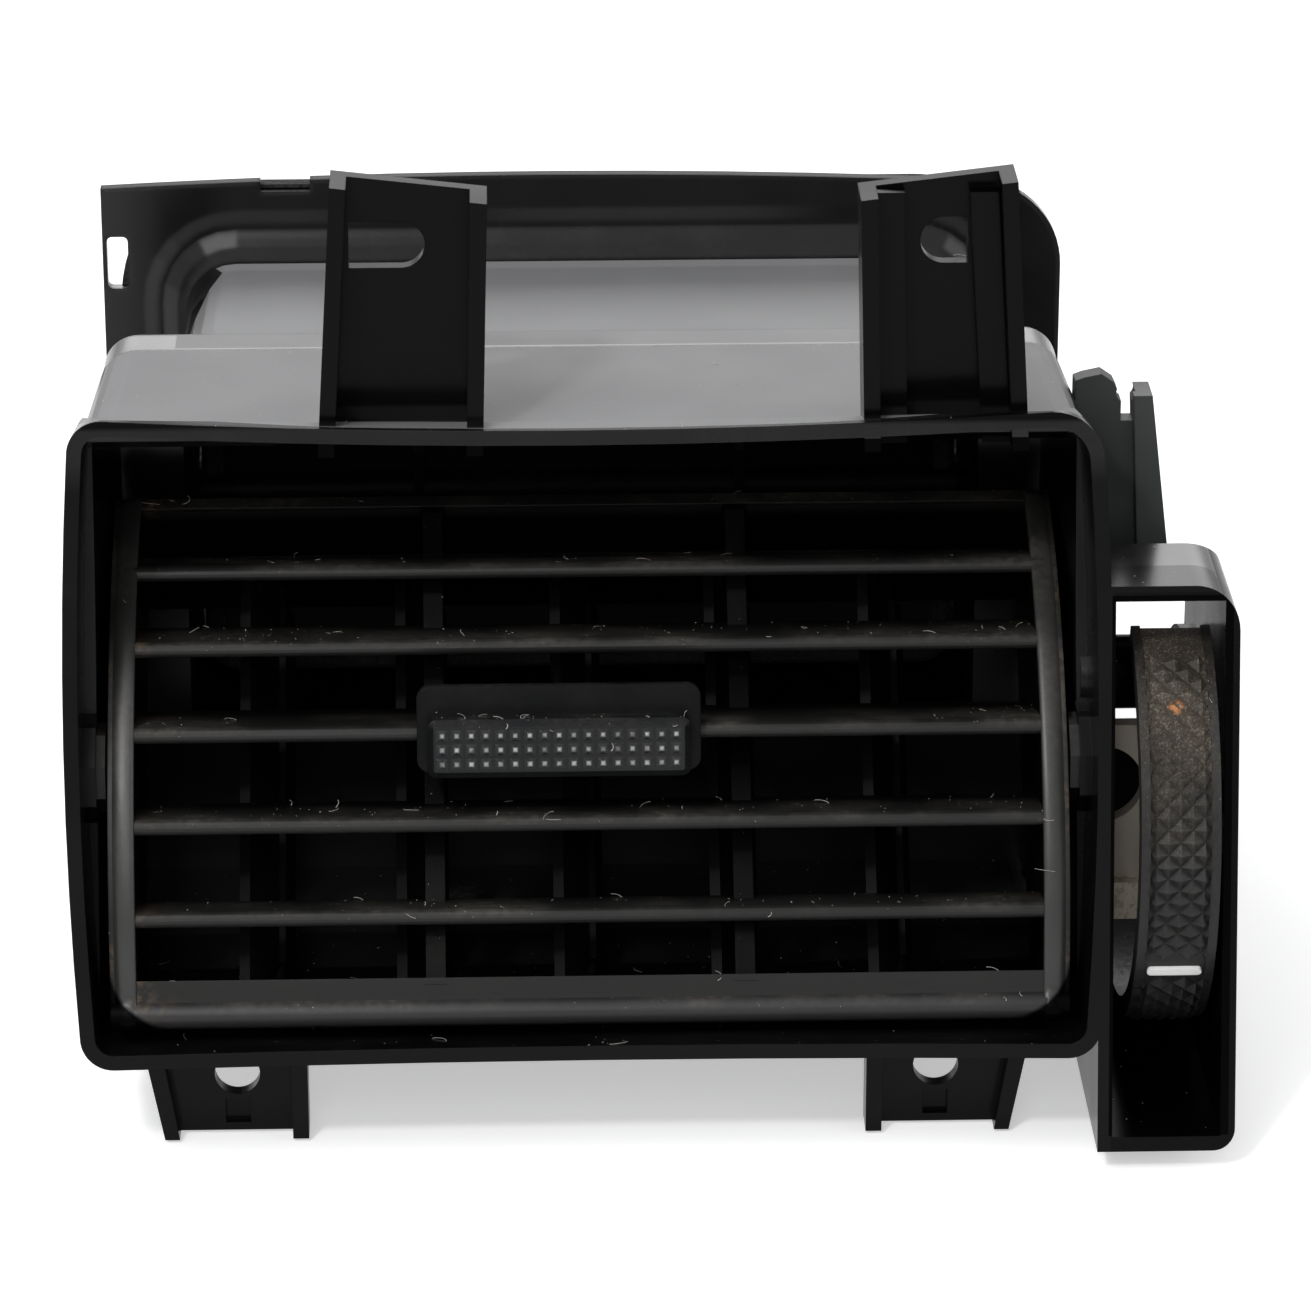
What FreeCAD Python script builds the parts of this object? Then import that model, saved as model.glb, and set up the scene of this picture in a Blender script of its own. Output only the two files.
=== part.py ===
import FreeCAD, Part
import math
import os

# A dashboard air vent: a rimmed front housing with four fixing brackets and a side pocket for the
# thumbwheel, a rear duct with an inlet flange, a louvre drum that tilts, five swivelling vanes with
# their slider, and a shut-off flap that the thumbwheel turns through a rod.
# Millimetres. X to the right, Y to the rear, Z up.
# The drawing origin is the centre of the rim's front plane. The exported origin is midway between
# the two lower fixing holes, on the front face of their webs.

V = FreeCAD.Vector
X_AXIS = V(1, 0, 0)
Y_AXIS = V(0, 1, 0)
Z_AXIS = V(0, 0, 1)

# Front rim
RIM_LEAN = 12.0             # the top of the rim leans back by this angle
RIM_HALF_WIDTH = 68.9       # at the corners
RIM_SIDE_BOW = 1.3          # the sides swell outwards at mid height
RIM_TOP = 44.2              # along the leaning plane, at the corners
RIM_TOP_SAG = 1.8
RIM_BOTTOM = 43.9
RIM_BOTTOM_RISE = 0.6
RIM_WALL = 2.0
RIM_DEPTH = 14.0
LIP_FRONT_Y = 9.6           # behind the top band the lip slopes down to the body's top
LIP_REAR_Y = 19.3
LIP_DROP = 4.4
LIP_INNER_Y = 13.6
RIM_RADIUS_TOP_LEFT = 4.5
RIM_RADIUS_TOP_RIGHT = 7.0
RIM_RADIUS_BOTTOM = 4.5

# Housing behind the rim
BODY_FRONT_Y = 4.0
BODY_REAR_Y = 55.0
BODY_WALL = 2.0
BODY_FRONT_HALF_WIDTH = RIM_HALF_WIDTH + 0.3
BODY_TAPER = 2.4            # the sides draw in by this much towards the rear
BODY_REAR_HALF_WIDTH = BODY_FRONT_HALF_WIDTH - BODY_TAPER
BODY_TOP = 39.0
BODY_FRONT_BOTTOM = -46.5
BODY_REAR_BOTTOM = -44.0
BODY_RADIUS = 5.0
CORNER_STEPS = 6            # flats along each long corner of the body and the duct

# Fixing brackets
UPPER_CENTRE_X = 11.6       # the upper pair stands to the right of the vent's middle
UPPER_INNER_BASE = 25.4
UPPER_OUTER_BASE = 47.4
UPPER_INNER_TOP = 24.5
UPPER_OUTER_TOP = 45.1
UPPER_INNER_HEIGHT = 72.0
UPPER_OUTER_HEIGHT = 74.4
UPPER_FRONT_Y = 11.5
UPPER_WEB_FRONT_Y = 17.4
BRACKET_WALL = 2.2
UPPER_SLOT_Z = 64.7
UPPER_SLOT_HEIGHT = 6.4
UPPER_SLOT_ROUND_END = 32.8  # from the pair's middle to the end of the slot's round part
UPPER_LEDGE_DEPTH = 2.4
UPPER_LEDGE_WIDTH = 3.8
LOWER_CENTRE_X = -0.5
LOWER_HOLE_SPACING = 96.0
LOWER_HOLE_RADIUS = 3.1
LOWER_HOLE_Z = -50.0
LOWER_INNER = 38.25         # from the pair's middle to the inner flange
LOWER_OUTER_TOP = 60.6
LOWER_OUTER_BOTTOM = 58.0
LOWER_TOP = -44.6
LOWER_FRONT_Y = 1.0
LOWER_WEB_FRONT_Y = 4.0
LOWER_BOTTOM = -58.6
LOWER_RECESS_WIDTH = 3.4
LOWER_RECESS_HEIGHT = 3.7
LOWER_RECESS_Z = -55.6
LOWER_RECESS_DEPTH = 1.0

# Wheel pocket on the right
POCKET_WALL = 2.0
POCKET_WIDTH = 18.7
POCKET_LEFT = BODY_FRONT_HALF_WIDTH - 0.8
POCKET_RIGHT = POCKET_LEFT + POCKET_WIDTH
POCKET_TOP = 20.2
POCKET_BOTTOM = -55.8
POCKET_TOP_REAR_Y = 20.3
POCKET_REAR_Y = 47.0
POCKET_SHOULDER_Z = 6.0
POCKET_REAR_WALL_TOP = -38.0
POCKET_RADIUS_TOP = 6.0
POCKET_RADIUS_BOTTOM = 3.0

# Thumbwheel
WHEEL_Y = 22.8
WHEEL_Z = -18.4
WHEEL_RADIUS = 30.5
WHEEL_LEFT = POCKET_LEFT + 5.2
WHEEL_WIDTH = 10.7
WHEEL_RIGHT = WHEEL_LEFT + WHEEL_WIDTH
WHEEL_LIP = 1.25            # smooth band on each side of the tread
TREAD_DEPTH = 0.45
WHEEL_RIM_THICKNESS = 3.0
WHEEL_WEB = 2.4
WHEEL_WEB_RADIUS = 24.0
WHEEL_ARC_TOP = 73.0        # angle above straight ahead at which the grip ends
WHEEL_ARC_BOTTOM = -130.0
WHEEL_HUB_RADIUS = 5.5
WHEEL_HUB_LEFT = WHEEL_LEFT + 1.6
AXLE_BOSS_RADIUS = 3.5
AXLE_BOSS_END = WHEEL_HUB_LEFT - 0.2
AXLE_RADIUS = 2.5
AXLE_HEAD_RADIUS = 4.0
AXLE_HEAD = 1.0
PIN_CLEARANCE = 0.05
MARK_ANGLE = -27.6
MARK_LENGTH = 7.4
MARK_WIDTH = 1.3
MARK_DEPTH = 1.0

# Wheel carrier: the dusty wall and block seen to the left of the wheel
CARRIER_LEFT = POCKET_LEFT + POCKET_WALL
CARRIER_RIGHT = CARRIER_LEFT + 8.1
CARRIER_FRONT_Y = 14.0
CARRIER_THICKNESS = 2.5
CARRIER_TOP = -3.9
CARRIER_BOTTOM = -32.0
CARRIER_WINDOW_RADIUS = 5.6
CARRIER_WINDOW_Z = -12.6
CARRIER_BLOCK_TOP = -26.5
CARRIER_BLOCK_REAR_Y = 18.0
CARRIER_BLOCK_STEP = 2.0     # the block stands this far in front of the wall
CARRIER_PEG_HALF = 1.0
CARRIER_PEG_DEPTH = 1.4
CARRIER_PEG_Z = -29.2
CARRIER_PEG_Y = (13.7, 16.4)
BOSS_Y = 20.0
BOSS_Z = 1.6
BOSS_RADIUS = 5.1
BOSS_END = WHEEL_LEFT + 4.4

# Louvre drum, drawn in its own frame: origin on the pivot, y square to its face, z along its face
PIVOT_Y = 13.0
PIVOT_Z = -7.9
DRUM_TILT = 27.3            # tipped back by this much from the rim's plane
DRUM_ROOM = 2.2             # between the drum's side and the housing's wall
DRUM_HALF_WIDTH = BODY_FRONT_HALF_WIDTH - BODY_WALL - DRUM_ROOM
DRUM_FACE_RADIUS = 62.0
DRUM_FACE_Y = 56.9
DRUM_FACE_Z = 4.0
DRUM_SIDE = 3.4
DRUM_REAR_HALF_WIDTH = DRUM_HALF_WIDTH - 1.4
DRUM_FRAME_DEPTH = 9.0
DRUM_PLATE = 2.0
DRUM_REAR_Y = 26.5
DRUM_REAR_TOP = 33.0
DRUM_REAR_BOTTOM = -23.5
DRUM_LIP_Y = 8.5
DRUM_LIP_Z = -34.6
DRUM_TOP_ANGLE = 36.4
DRUM_BOTTOM_ANGLE = -35.0
SLAT_COUNT = 5
SLAT_FIRST_ANGLE = -24.5
SLAT_STEP_ANGLE = 11.6
SLAT_SLOPE = 27.5
SLAT_FRONT_THICKNESS = 2.2
SLAT_NOSE_STEPS = 8
SLAT_REAR_THICKNESS = 1.5
SLAT_REAR_Y = 8.3
RIB_X = 21.0
RIB_WIDTH = 2.7
RIB_FRONT_Y = 5.3
TRUNNION_RADIUS = 3.0
TRUNNION_END = DRUM_HALF_WIDTH + 5.0

# Trunnion bushes
BUSH_OUTER_RADIUS = 4.4     # to the flats of its eight sides
BUSH_FLANGE_RADIUS = 5.6
BUSH_FLANGE = 1.2
TILT_BOSS_RADIUS = 7.0
FIT_GAP = 0.03
DRUM_SIDE_GAP = 0.3

# Vanes and their slider, in the drum's frame
VANE_COUNT = 5
VANE_PITCH = 21.5
VANE_AXIS_Y = 23.5
VANE_FRONT_Y = 10.8
VANE_REAR_Y = 28.0
VANE_THICKNESS = 1.5
VANE_PIN_RADIUS = 1.2
VANE_SNAP = 0.15            # the snap-in throat is narrower than the pin by this on each side
VANE_GAP = 0.45
VANE_FRONT_GAP = 1.9
DRIVE_ARM = 12.0            # from a vane's axis to the pin that the slider pushes
SLIDER_OFFSET = -4.0        # the slider stands left of the middle
LINK_ARM = 9.0
LINK_WIDTH = 7.0
LINK_THICKNESS = 1.2
LINK_SLOT_GAP = 0.2
VANE_SWING = 32.0
LINK_Z = 32.6
VANE_TOP = 32.2
NOTCH_BOTTOM = 6.8
NOTCH_TOP = 15.4
NOTCH_DEPTH_Y = 15.6
DRIVE_PIN_RADIUS = 0.9
FORK_GAP = 0.6
FORK_PRONG = 1.2
SLIDE_GAP = 0.15
CLIP_WIDTH = 12.0
CLIP_PLATE = 1.2
CLIP_FRONT = 1.4
CLIP_FACE_WIDTH = 38.4
CLIP_FACE_TOP = 6.9
CLIP_FACE_BOTTOM = -5.0
CLIP_FACE_RADIUS = 1.8
GRIP_WIDTH = 35.6
GRIP_TOP = 2.9
GRIP_BOTTOM = -5.1
GRIP_DEPTH = 4.2
GRIP_RADIUS = 1.3
GRIP_EDGE = 0.9
STUD_COLUMNS = 17
STUD_ROWS = 3
STUD_PITCH_X = 1.97
STUD_PITCH_Z = 1.95
STUD_SIZE = 1.5
STUD_HEIGHT = 0.5

# Rear duct
DUCT_PLATE = 2.0
DUCT_STEP = 9.8             # the duct is narrower than the body on each side
DUCT_HALF_WIDTH = BODY_REAR_HALF_WIDTH - DUCT_STEP
DUCT_TOP_FRONT = 38.2
DUCT_TOP_REAR = 34.5
DUCT_BOTTOM = -22.5
DUCT_RADIUS = 7.0
DUCT_END_Y = 99.0
FLARE = 7.0
FLARE_STEPS_OUTSIDE = 4
FLARE_STEPS_INSIDE = 2
FLANGE_Y = DUCT_END_Y + FLARE
FLANGE_THICKNESS = 2.0
FLANGE_LEFT = -DUCT_HALF_WIDTH - 12.9
FLANGE_RIGHT = DUCT_HALF_WIDTH + 15.2
FLANGE_TOP = 45.0
FLANGE_TOP_CROWN = 1.6
FLANGE_BOTTOM = -36.0
FLANGE_RADIUS = 13.0
FLANGE_NOTCH_X = -42.7
FLANGE_NOTCH_WIDTH = 7.3
FLANGE_NOTCH_DEPTH = 1.4
FLANGE_SLOT_X = FLANGE_LEFT + 2.2
FLANGE_SLOT_Z = 33.6
FLANGE_SLOT_WIDTH = 3.1
FLANGE_SLOT_HEIGHT = 8.0
COLLAR_DEPTH = 5.0
COLLAR_WALL = 1.0
GASKET_WIDTH = 5.0
GASKET_THICKNESS = 2.5

# Shut-off flap
FLAP_Y = 81.5
FLAP_Z = 6.8
FLAP_REST = 85.0            # almost upright: the duct is shut
FLAP_CHORD = 53.0
FLAP_THICKNESS = 2.0
FLAP_SHAFT_RADIUS = 3.0
FLAP_SIDE_GAP = 1.0
SEAL_WIDTH = 2.2
SEAL_THICKNESS = 4.0
SEAL_RADIUS = 4.8
FLAP_BUSH_RADIUS = 4.6
CRANK_RADIUS = 9.0
CRANK_ANGLE = -20.0         # from straight back, upwards positive
CRANK_PIN_RADIUS = 2.0
CRANK_BOSS_RADIUS = 5.6
CRANK_TIP_RADIUS = 3.4
CRANK_LEFT = POCKET_LEFT
CRANK_THICKNESS = 2.2
ROD_LEFT = CRANK_LEFT + CRANK_THICKNESS + 0.4
ROD_THICKNESS = 2.0
ROD_WIDTH = 4.4
ROD_EYE_RADIUS = 3.6

# Arm with a hook behind the pocket
ARM_Y = 37.0
ARM_THICKNESS = 3.0
ARM_RIB_DEPTH = 6.0
ARM_PEG_HALF = 1.0
ARM_PEG_Z = (14.0, 28.0)


def block(x0, x1, y0, y1, z0, z1):
    return Part.makeBox(x1 - x0, y1 - y0, z1 - z0, V(x0, y0, z0))


def bar_x(x0, x1, y, z, radius):
    return Part.makeCylinder(radius, x1 - x0, V(x0, y, z), X_AXIS)


def bar_y(y0, y1, x, z, radius):
    return Part.makeCylinder(radius, y1 - y0, V(x, y0, z), Y_AXIS)


def bar_z(z0, z1, x, y, radius):
    return Part.makeCylinder(radius, z1 - z0, V(x, y, z0), Z_AXIS)


def prism_x(x0, x1, y, z, radius):
    """An eight-sided bar along X, with flats at the radius."""
    reach = radius / math.cos(math.radians(22.5))
    angles = [math.radians(22.5 + 45.0 * i) for i in range(8)]
    return slab_x([(y + reach * math.cos(a), z + reach * math.sin(a)) for a in angles], x0, x1)


def prism_z(z0, z1, x, y, radius):
    """An eight-sided bar along Z, with corners at the radius."""
    angles = [math.radians(22.5 + 45.0 * i) for i in range(8)]
    return slab_z([(x + radius * math.cos(a), y + radius * math.sin(a)) for a in angles], z0, z1)


def slab_x(points, x0, x1):
    """A plate square to X, from a closed outline of (y, z) points."""
    corners = [V(x0, y, z) for y, z in points]
    face = Part.Face(Part.makePolygon(corners + corners[:1]))
    return face.extrude(V(x1 - x0, 0, 0))


def slab_y(points, y0, y1):
    """A plate square to Y, from a closed outline of (x, z) points."""
    corners = [V(x, y0, z) for x, z in points]
    face = Part.Face(Part.makePolygon(corners + corners[:1]))
    return face.extrude(V(0, y1 - y0, 0))


def slab_z(points, z0, z1):
    """A plate square to Z, from a closed outline of (x, y) points."""
    corners = [V(x, y, z0) for x, y in points]
    face = Part.Face(Part.makePolygon(corners + corners[:1]))
    return face.extrude(V(0, 0, z1 - z0))


def turned_x(shape, degrees, y=0.0, z=0.0):
    turned = shape.copy()
    turned.rotate(V(0, y, z), X_AXIS, degrees)
    return turned


def moved(shape, x=0.0, y=0.0, z=0.0):
    shifted = shape.copy()
    shifted.translate(V(x, y, z))
    return shifted


def mirrored_x(shape, x):
    return shape.mirror(V(x, 0, 0), X_AXIS)


def fused(shapes):
    whole = shapes[0].multiFuse(shapes[1:]) if len(shapes) > 1 else shapes[0]
    return whole.removeSplitter()


def round_rectangle(x0, x1, z0, z1, radius, y):
    """A closed wire square to Y with four equal round corners."""
    k = radius * (1 - math.sqrt(0.5))
    points = [
        (x0 + radius, z0), (x1 - radius, z0), (x1 - k, z0 + k), (x1, z0 + radius),
        (x1, z1 - radius), (x1 - k, z1 - k), (x1 - radius, z1),
        (x0 + radius, z1), (x0 + k, z1 - k), (x0, z1 - radius),
        (x0, z0 + radius), (x0 + k, z0 + k),
    ]
    p = [V(x, y, z) for x, z in points]
    edges = []
    for i in range(0, 12, 3):
        edges.append(Part.makeLine(p[i], p[i + 1]))
        edges.append(Part.Arc(p[i + 1], p[i + 2], p[(i + 3) % 12]).toShape())
    return Part.Wire(edges)


def round_slab_y(x0, x1, z0, z1, radius, y0, y1):
    return Part.Face(round_rectangle(x0, x1, z0, z1, radius, y0)).extrude(V(0, y1 - y0, 0))


def faceted_corner(x, z, side, up, radius):
    """Points round a corner at (x, z), from its upright side to its level side."""
    points = []
    for step in range(CORNER_STEPS + 1):
        a = math.radians(90.0 * step / CORNER_STEPS)
        points.append((x - side * radius * (1 - math.cos(a)), z - up * radius * (1 - math.sin(a))))
    return points


def slanting_block(front, rear, radius, y0, y1):
    """A block with faceted long edges between two rectangles of (half width, bottom, top)."""
    half0, low0, high0 = front
    half1, low1, high1 = rear
    middle = (low0 + high0) / 2
    over = half0 / 4
    quarters = []
    for side in (-1, 1):
        for up, level0, level1 in ((-1, low0, low1), (1, high0, high1)):
            x = side * half0
            inner_x = -side * over
            inner_z = middle - up * over
            points = [(inner_x, inner_z), (x, inner_z)]
            points += faceted_corner(x, level0, side, up, radius) + [(inner_x, level0)]
            corners = [V(px, y0, pz) for px, pz in points]
            run = V(side * (half1 - half0), y1 - y0, level1 - level0)
            quarters.append(Part.Face(Part.makePolygon(corners + corners[:1])).extrude(run))
    return fused(quarters)


def faceted_outline(half, low, high, radius, y):
    """A closed rectangle square to Y whose corners have the same facets as the slanting blocks."""
    points = []
    for side, up in ((1, 1), (-1, 1), (-1, -1), (1, -1)):
        corner = faceted_corner(side * half, high if up > 0 else low, side, up, radius)
        points += corner if side == up else corner[::-1]
    corners = [V(x, y, z) for x, z in points]
    return Part.makePolygon(corners + corners[:1])


def rim_outline(inset, depth):
    """The rim's bowed outline in its own plane, pulled in by inset, at a depth behind the front."""
    w = RIM_HALF_WIDTH - inset
    t = RIM_TOP - inset
    b = -(RIM_BOTTOM - inset)
    mid = (t + b) / 2
    radii = {
        "tl": max(RIM_RADIUS_TOP_LEFT - inset, 1.0),
        "tr": max(RIM_RADIUS_TOP_RIGHT - inset, 1.0),
        "b": max(RIM_RADIUS_BOTTOM - inset, 1.0),
    }
    k = 1 - math.sqrt(0.5)

    def corner(x, z, sx, sz, radius):
        before = V(x - sx * radius, depth, z)
        middle = V(x - sx * k * radius, depth, z - sz * k * radius)
        after = V(x, depth, z - sz * radius)
        return before, middle, after

    br = corner(w, b, 1, -1, radii["b"])
    tr = corner(w, t, 1, 1, radii["tr"])
    tl = corner(-w, t, -1, 1, radii["tl"])
    bl = corner(-w, b, -1, -1, radii["b"])
    edges = [
        Part.Arc(bl[0], V(0, depth, b + RIM_BOTTOM_RISE), br[0]).toShape(),
        Part.Arc(br[0], br[1], br[2]).toShape(),
        Part.Arc(br[2], V(w + RIM_SIDE_BOW, depth, mid), tr[2]).toShape(),
        Part.Arc(tr[2], tr[1], tr[0]).toShape(),
        Part.Arc(tr[0], V(0, depth, t - RIM_TOP_SAG), tl[0]).toShape(),
        Part.Arc(tl[0], tl[1], tl[2]).toShape(),
        Part.Arc(tl[2], V(-w - RIM_SIDE_BOW, depth, mid), bl[2]).toShape(),
        Part.Arc(bl[2], bl[1], bl[0]).toShape(),
    ]
    return Part.Wire(edges)


def rim_block(inset, depth0, depth1):
    face = Part.Face(rim_outline(inset, depth0))
    return turned_x(face.extrude(V(0, depth1 - depth0, 0)), -RIM_LEAN)


def body_block(inset, y0, y1):
    """The housing's tapering body, pulled in by inset on every side."""
    def section(y):
        share = (y - BODY_FRONT_Y) / (BODY_REAR_Y - BODY_FRONT_Y)
        half = BODY_FRONT_HALF_WIDTH + share * (BODY_REAR_HALF_WIDTH - BODY_FRONT_HALF_WIDTH) - inset
        bottom = BODY_FRONT_BOTTOM + share * (BODY_REAR_BOTTOM - BODY_FRONT_BOTTOM) + inset
        return half, bottom, BODY_TOP - inset

    return slanting_block(section(y0), section(y1), BODY_RADIUS - inset, y0, y1)


def rear_section(inset, y0, y1):
    """The outline of the body's rear end, pulled in by inset on every side."""
    half = BODY_REAR_HALF_WIDTH - inset
    return round_slab_y(-half, half, BODY_REAR_BOTTOM + inset, BODY_TOP - inset,
                        BODY_RADIUS - inset, y0, y1)


def upper_bracket(with_ledges):
    """The right-hand upper bracket: a web with a flange on each side, cut off at a slant."""
    outline = [
        (UPPER_INNER_BASE, BODY_TOP - BODY_WALL), (UPPER_OUTER_BASE, BODY_TOP - BODY_WALL),
        (UPPER_OUTER_TOP, UPPER_OUTER_HEIGHT), (UPPER_INNER_TOP, UPPER_INNER_HEIGHT),
    ]
    whole = slab_y(outline, UPPER_FRONT_Y, UPPER_WEB_FRONT_Y + BRACKET_WALL)
    hollow = [
        (UPPER_INNER_BASE + BRACKET_WALL, BODY_TOP - BODY_WALL),
        (UPPER_OUTER_BASE - BRACKET_WALL, BODY_TOP - BODY_WALL),
        (UPPER_OUTER_TOP - BRACKET_WALL, UPPER_OUTER_HEIGHT + 1.0),
        (UPPER_INNER_TOP + BRACKET_WALL, UPPER_OUTER_HEIGHT + 1.0),
    ]
    channel = whole.cut(slab_y(hollow, UPPER_FRONT_Y - 1.0, UPPER_WEB_FRONT_Y))
    if with_ledges:
        base = BODY_TOP - BODY_WALL
        lean = UPPER_OUTER_TOP - UPPER_OUTER_BASE
        near = UPPER_INNER_BASE + BRACKET_WALL
        far = UPPER_OUTER_BASE - BRACKET_WALL
        for x, shift in ((near, UPPER_INNER_TOP - UPPER_INNER_BASE), (far - UPPER_LEDGE_WIDTH, lean)):
            ledge = slab_y(
                [(x, base), (x + UPPER_LEDGE_WIDTH, base),
                 (x + UPPER_LEDGE_WIDTH + shift, UPPER_INNER_HEIGHT),
                 (x + shift, UPPER_INNER_HEIGHT)],
                UPPER_WEB_FRONT_Y - UPPER_LEDGE_DEPTH, UPPER_WEB_FRONT_Y + 0.5)
            channel = channel.fuse(ledge.common(whole))
    radius = UPPER_SLOT_HEIGHT / 2
    round_x = UPPER_SLOT_ROUND_END + radius
    slot_end = UPPER_OUTER_TOP - BRACKET_WALL - (UPPER_LEDGE_WIDTH if with_ledges else 0.0)
    front = UPPER_WEB_FRONT_Y - UPPER_LEDGE_DEPTH - 0.5
    slot = block(round_x, slot_end, front, UPPER_WEB_FRONT_Y + BRACKET_WALL + 1,
                 UPPER_SLOT_Z - radius, UPPER_SLOT_Z + radius)
    slot = slot.fuse(bar_y(front, UPPER_WEB_FRONT_Y + BRACKET_WALL + 1, round_x, UPPER_SLOT_Z, radius))
    return channel.cut(slot)


def lower_bracket():
    """The right-hand lower bracket, drawn about the pair's middle."""
    top = LOWER_TOP
    outline = [
        (LOWER_INNER, top), (LOWER_OUTER_TOP, top),
        (LOWER_OUTER_BOTTOM, LOWER_BOTTOM), (LOWER_INNER, LOWER_BOTTOM),
    ]
    whole = slab_y(outline, LOWER_FRONT_Y, LOWER_WEB_FRONT_Y + BRACKET_WALL)
    hollow = [
        (LOWER_INNER + BRACKET_WALL, top + 1.0), (LOWER_OUTER_TOP - BRACKET_WALL, top + 1.0),
        (LOWER_OUTER_BOTTOM - BRACKET_WALL, LOWER_BOTTOM - 1.0),
        (LOWER_INNER + BRACKET_WALL, LOWER_BOTTOM - 1.0),
    ]
    channel = whole.cut(slab_y(hollow, LOWER_FRONT_Y - 1.0, LOWER_WEB_FRONT_Y))
    hole_x = LOWER_HOLE_SPACING / 2
    hole = bar_y(LOWER_FRONT_Y, LOWER_WEB_FRONT_Y + BRACKET_WALL + 1, hole_x, LOWER_HOLE_Z,
                 LOWER_HOLE_RADIUS)
    half = LOWER_RECESS_WIDTH / 2
    tall = LOWER_RECESS_HEIGHT / 2
    recess = block(hole_x - half, hole_x + half, LOWER_WEB_FRONT_Y - 1.0,
                   LOWER_WEB_FRONT_Y + LOWER_RECESS_DEPTH, LOWER_RECESS_Z - tall, LOWER_RECESS_Z + tall)
    return channel.cut(hole).cut(recess)


def pocket_side(inset):
    """The pocket's outline seen from the side, pulled in by inset except at its open front."""
    lean = math.tan(math.radians(RIM_LEAN))
    top = POCKET_TOP - inset
    bottom = POCKET_BOTTOM + inset
    reach = 3.0 * inset
    rear = POCKET_REAR_Y - inset
    return [
        (top * lean - reach, top), (POCKET_TOP_REAR_Y, top),
        (POCKET_TOP_REAR_Y + top - POCKET_SHOULDER_Z, POCKET_SHOULDER_Z), (rear, POCKET_SHOULDER_Z),
        (rear, bottom), (bottom * lean - reach, bottom),
    ]


def pocket_shell():
    outer = slab_x(pocket_side(0.0), POCKET_LEFT, POCKET_RIGHT)
    frame = round_slab_y(POCKET_LEFT - 20, POCKET_RIGHT, POCKET_BOTTOM, POCKET_TOP,
                         POCKET_RADIUS_TOP, -40, 90)
    square = block(POCKET_LEFT - 20, POCKET_RIGHT, -40, 90, POCKET_BOTTOM, 0)
    low = round_slab_y(POCKET_LEFT - 20, POCKET_RIGHT, POCKET_BOTTOM, POCKET_TOP,
                       POCKET_RADIUS_BOTTOM, -40, 90)
    outer = outer.common(frame.fuse(square.common(low)))
    inner = slab_x(pocket_side(POCKET_WALL), POCKET_LEFT + POCKET_WALL, POCKET_RIGHT - POCKET_WALL)
    back = block(POCKET_LEFT + POCKET_WALL, POCKET_RIGHT - POCKET_WALL, POCKET_TOP_REAR_Y - 8,
                 POCKET_REAR_Y + 20, POCKET_REAR_WALL_TOP, POCKET_TOP - POCKET_WALL)
    return outer.cut(inner).cut(back)


def side_arm():
    """A flat arm with a hooked head and a slanting rib, standing on the housing's right side."""
    side = BODY_REAR_HALF_WIDTH
    left = side - 3.0
    y1 = ARM_Y + ARM_THICKNESS
    arm = slab_y([(left, 10.0), (side + 14.2, 10.0), (side + 14.0, 14.0), (side + 10.4, 32.0),
                  (left, 32.0)], ARM_Y, y1)
    head = slab_y([(left, 31.0), (side + 7.2, 31.0), (side + 7.2, 35.4), (side + 6.1, 37.6),
                   (side + 4.4, 38.8), (side + 2.0, 38.3), (left, 36.4)], ARM_Y, y1)
    notch = bar_y(ARM_Y - 1, y1 + 1, side + 7.8, 36.0, 1.3)
    rib = slab_y([(side + 9.8, 12.0), (side + 14.2, 12.0), (side + 11.2, 36.6), (side + 8.6, 36.6)],
                 ARM_Y - ARM_RIB_DEPTH + ARM_THICKNESS, y1)
    whole = fused([arm, head, rib]).cut(notch)
    body = [(0, BODY_FRONT_Y), (BODY_FRONT_HALF_WIDTH, BODY_FRONT_Y),
            (BODY_REAR_HALF_WIDTH, BODY_REAR_Y), (0, BODY_REAR_Y)]
    whole = whole.cut(slab_z(body, -100, 100))
    return fused([whole] + arm_pegs(0.0))


def arm_pegs(gap):
    """Two pegs that seat the arm in the housing's side wall."""
    y = ARM_Y + ARM_THICKNESS / 2
    left = BODY_REAR_HALF_WIDTH - 0.8 - gap
    half = ARM_PEG_HALF + gap
    return [block(left, BODY_FRONT_HALF_WIDTH, y - half, y + half, z - half, z + half)
            for z in ARM_PEG_Z]


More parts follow.
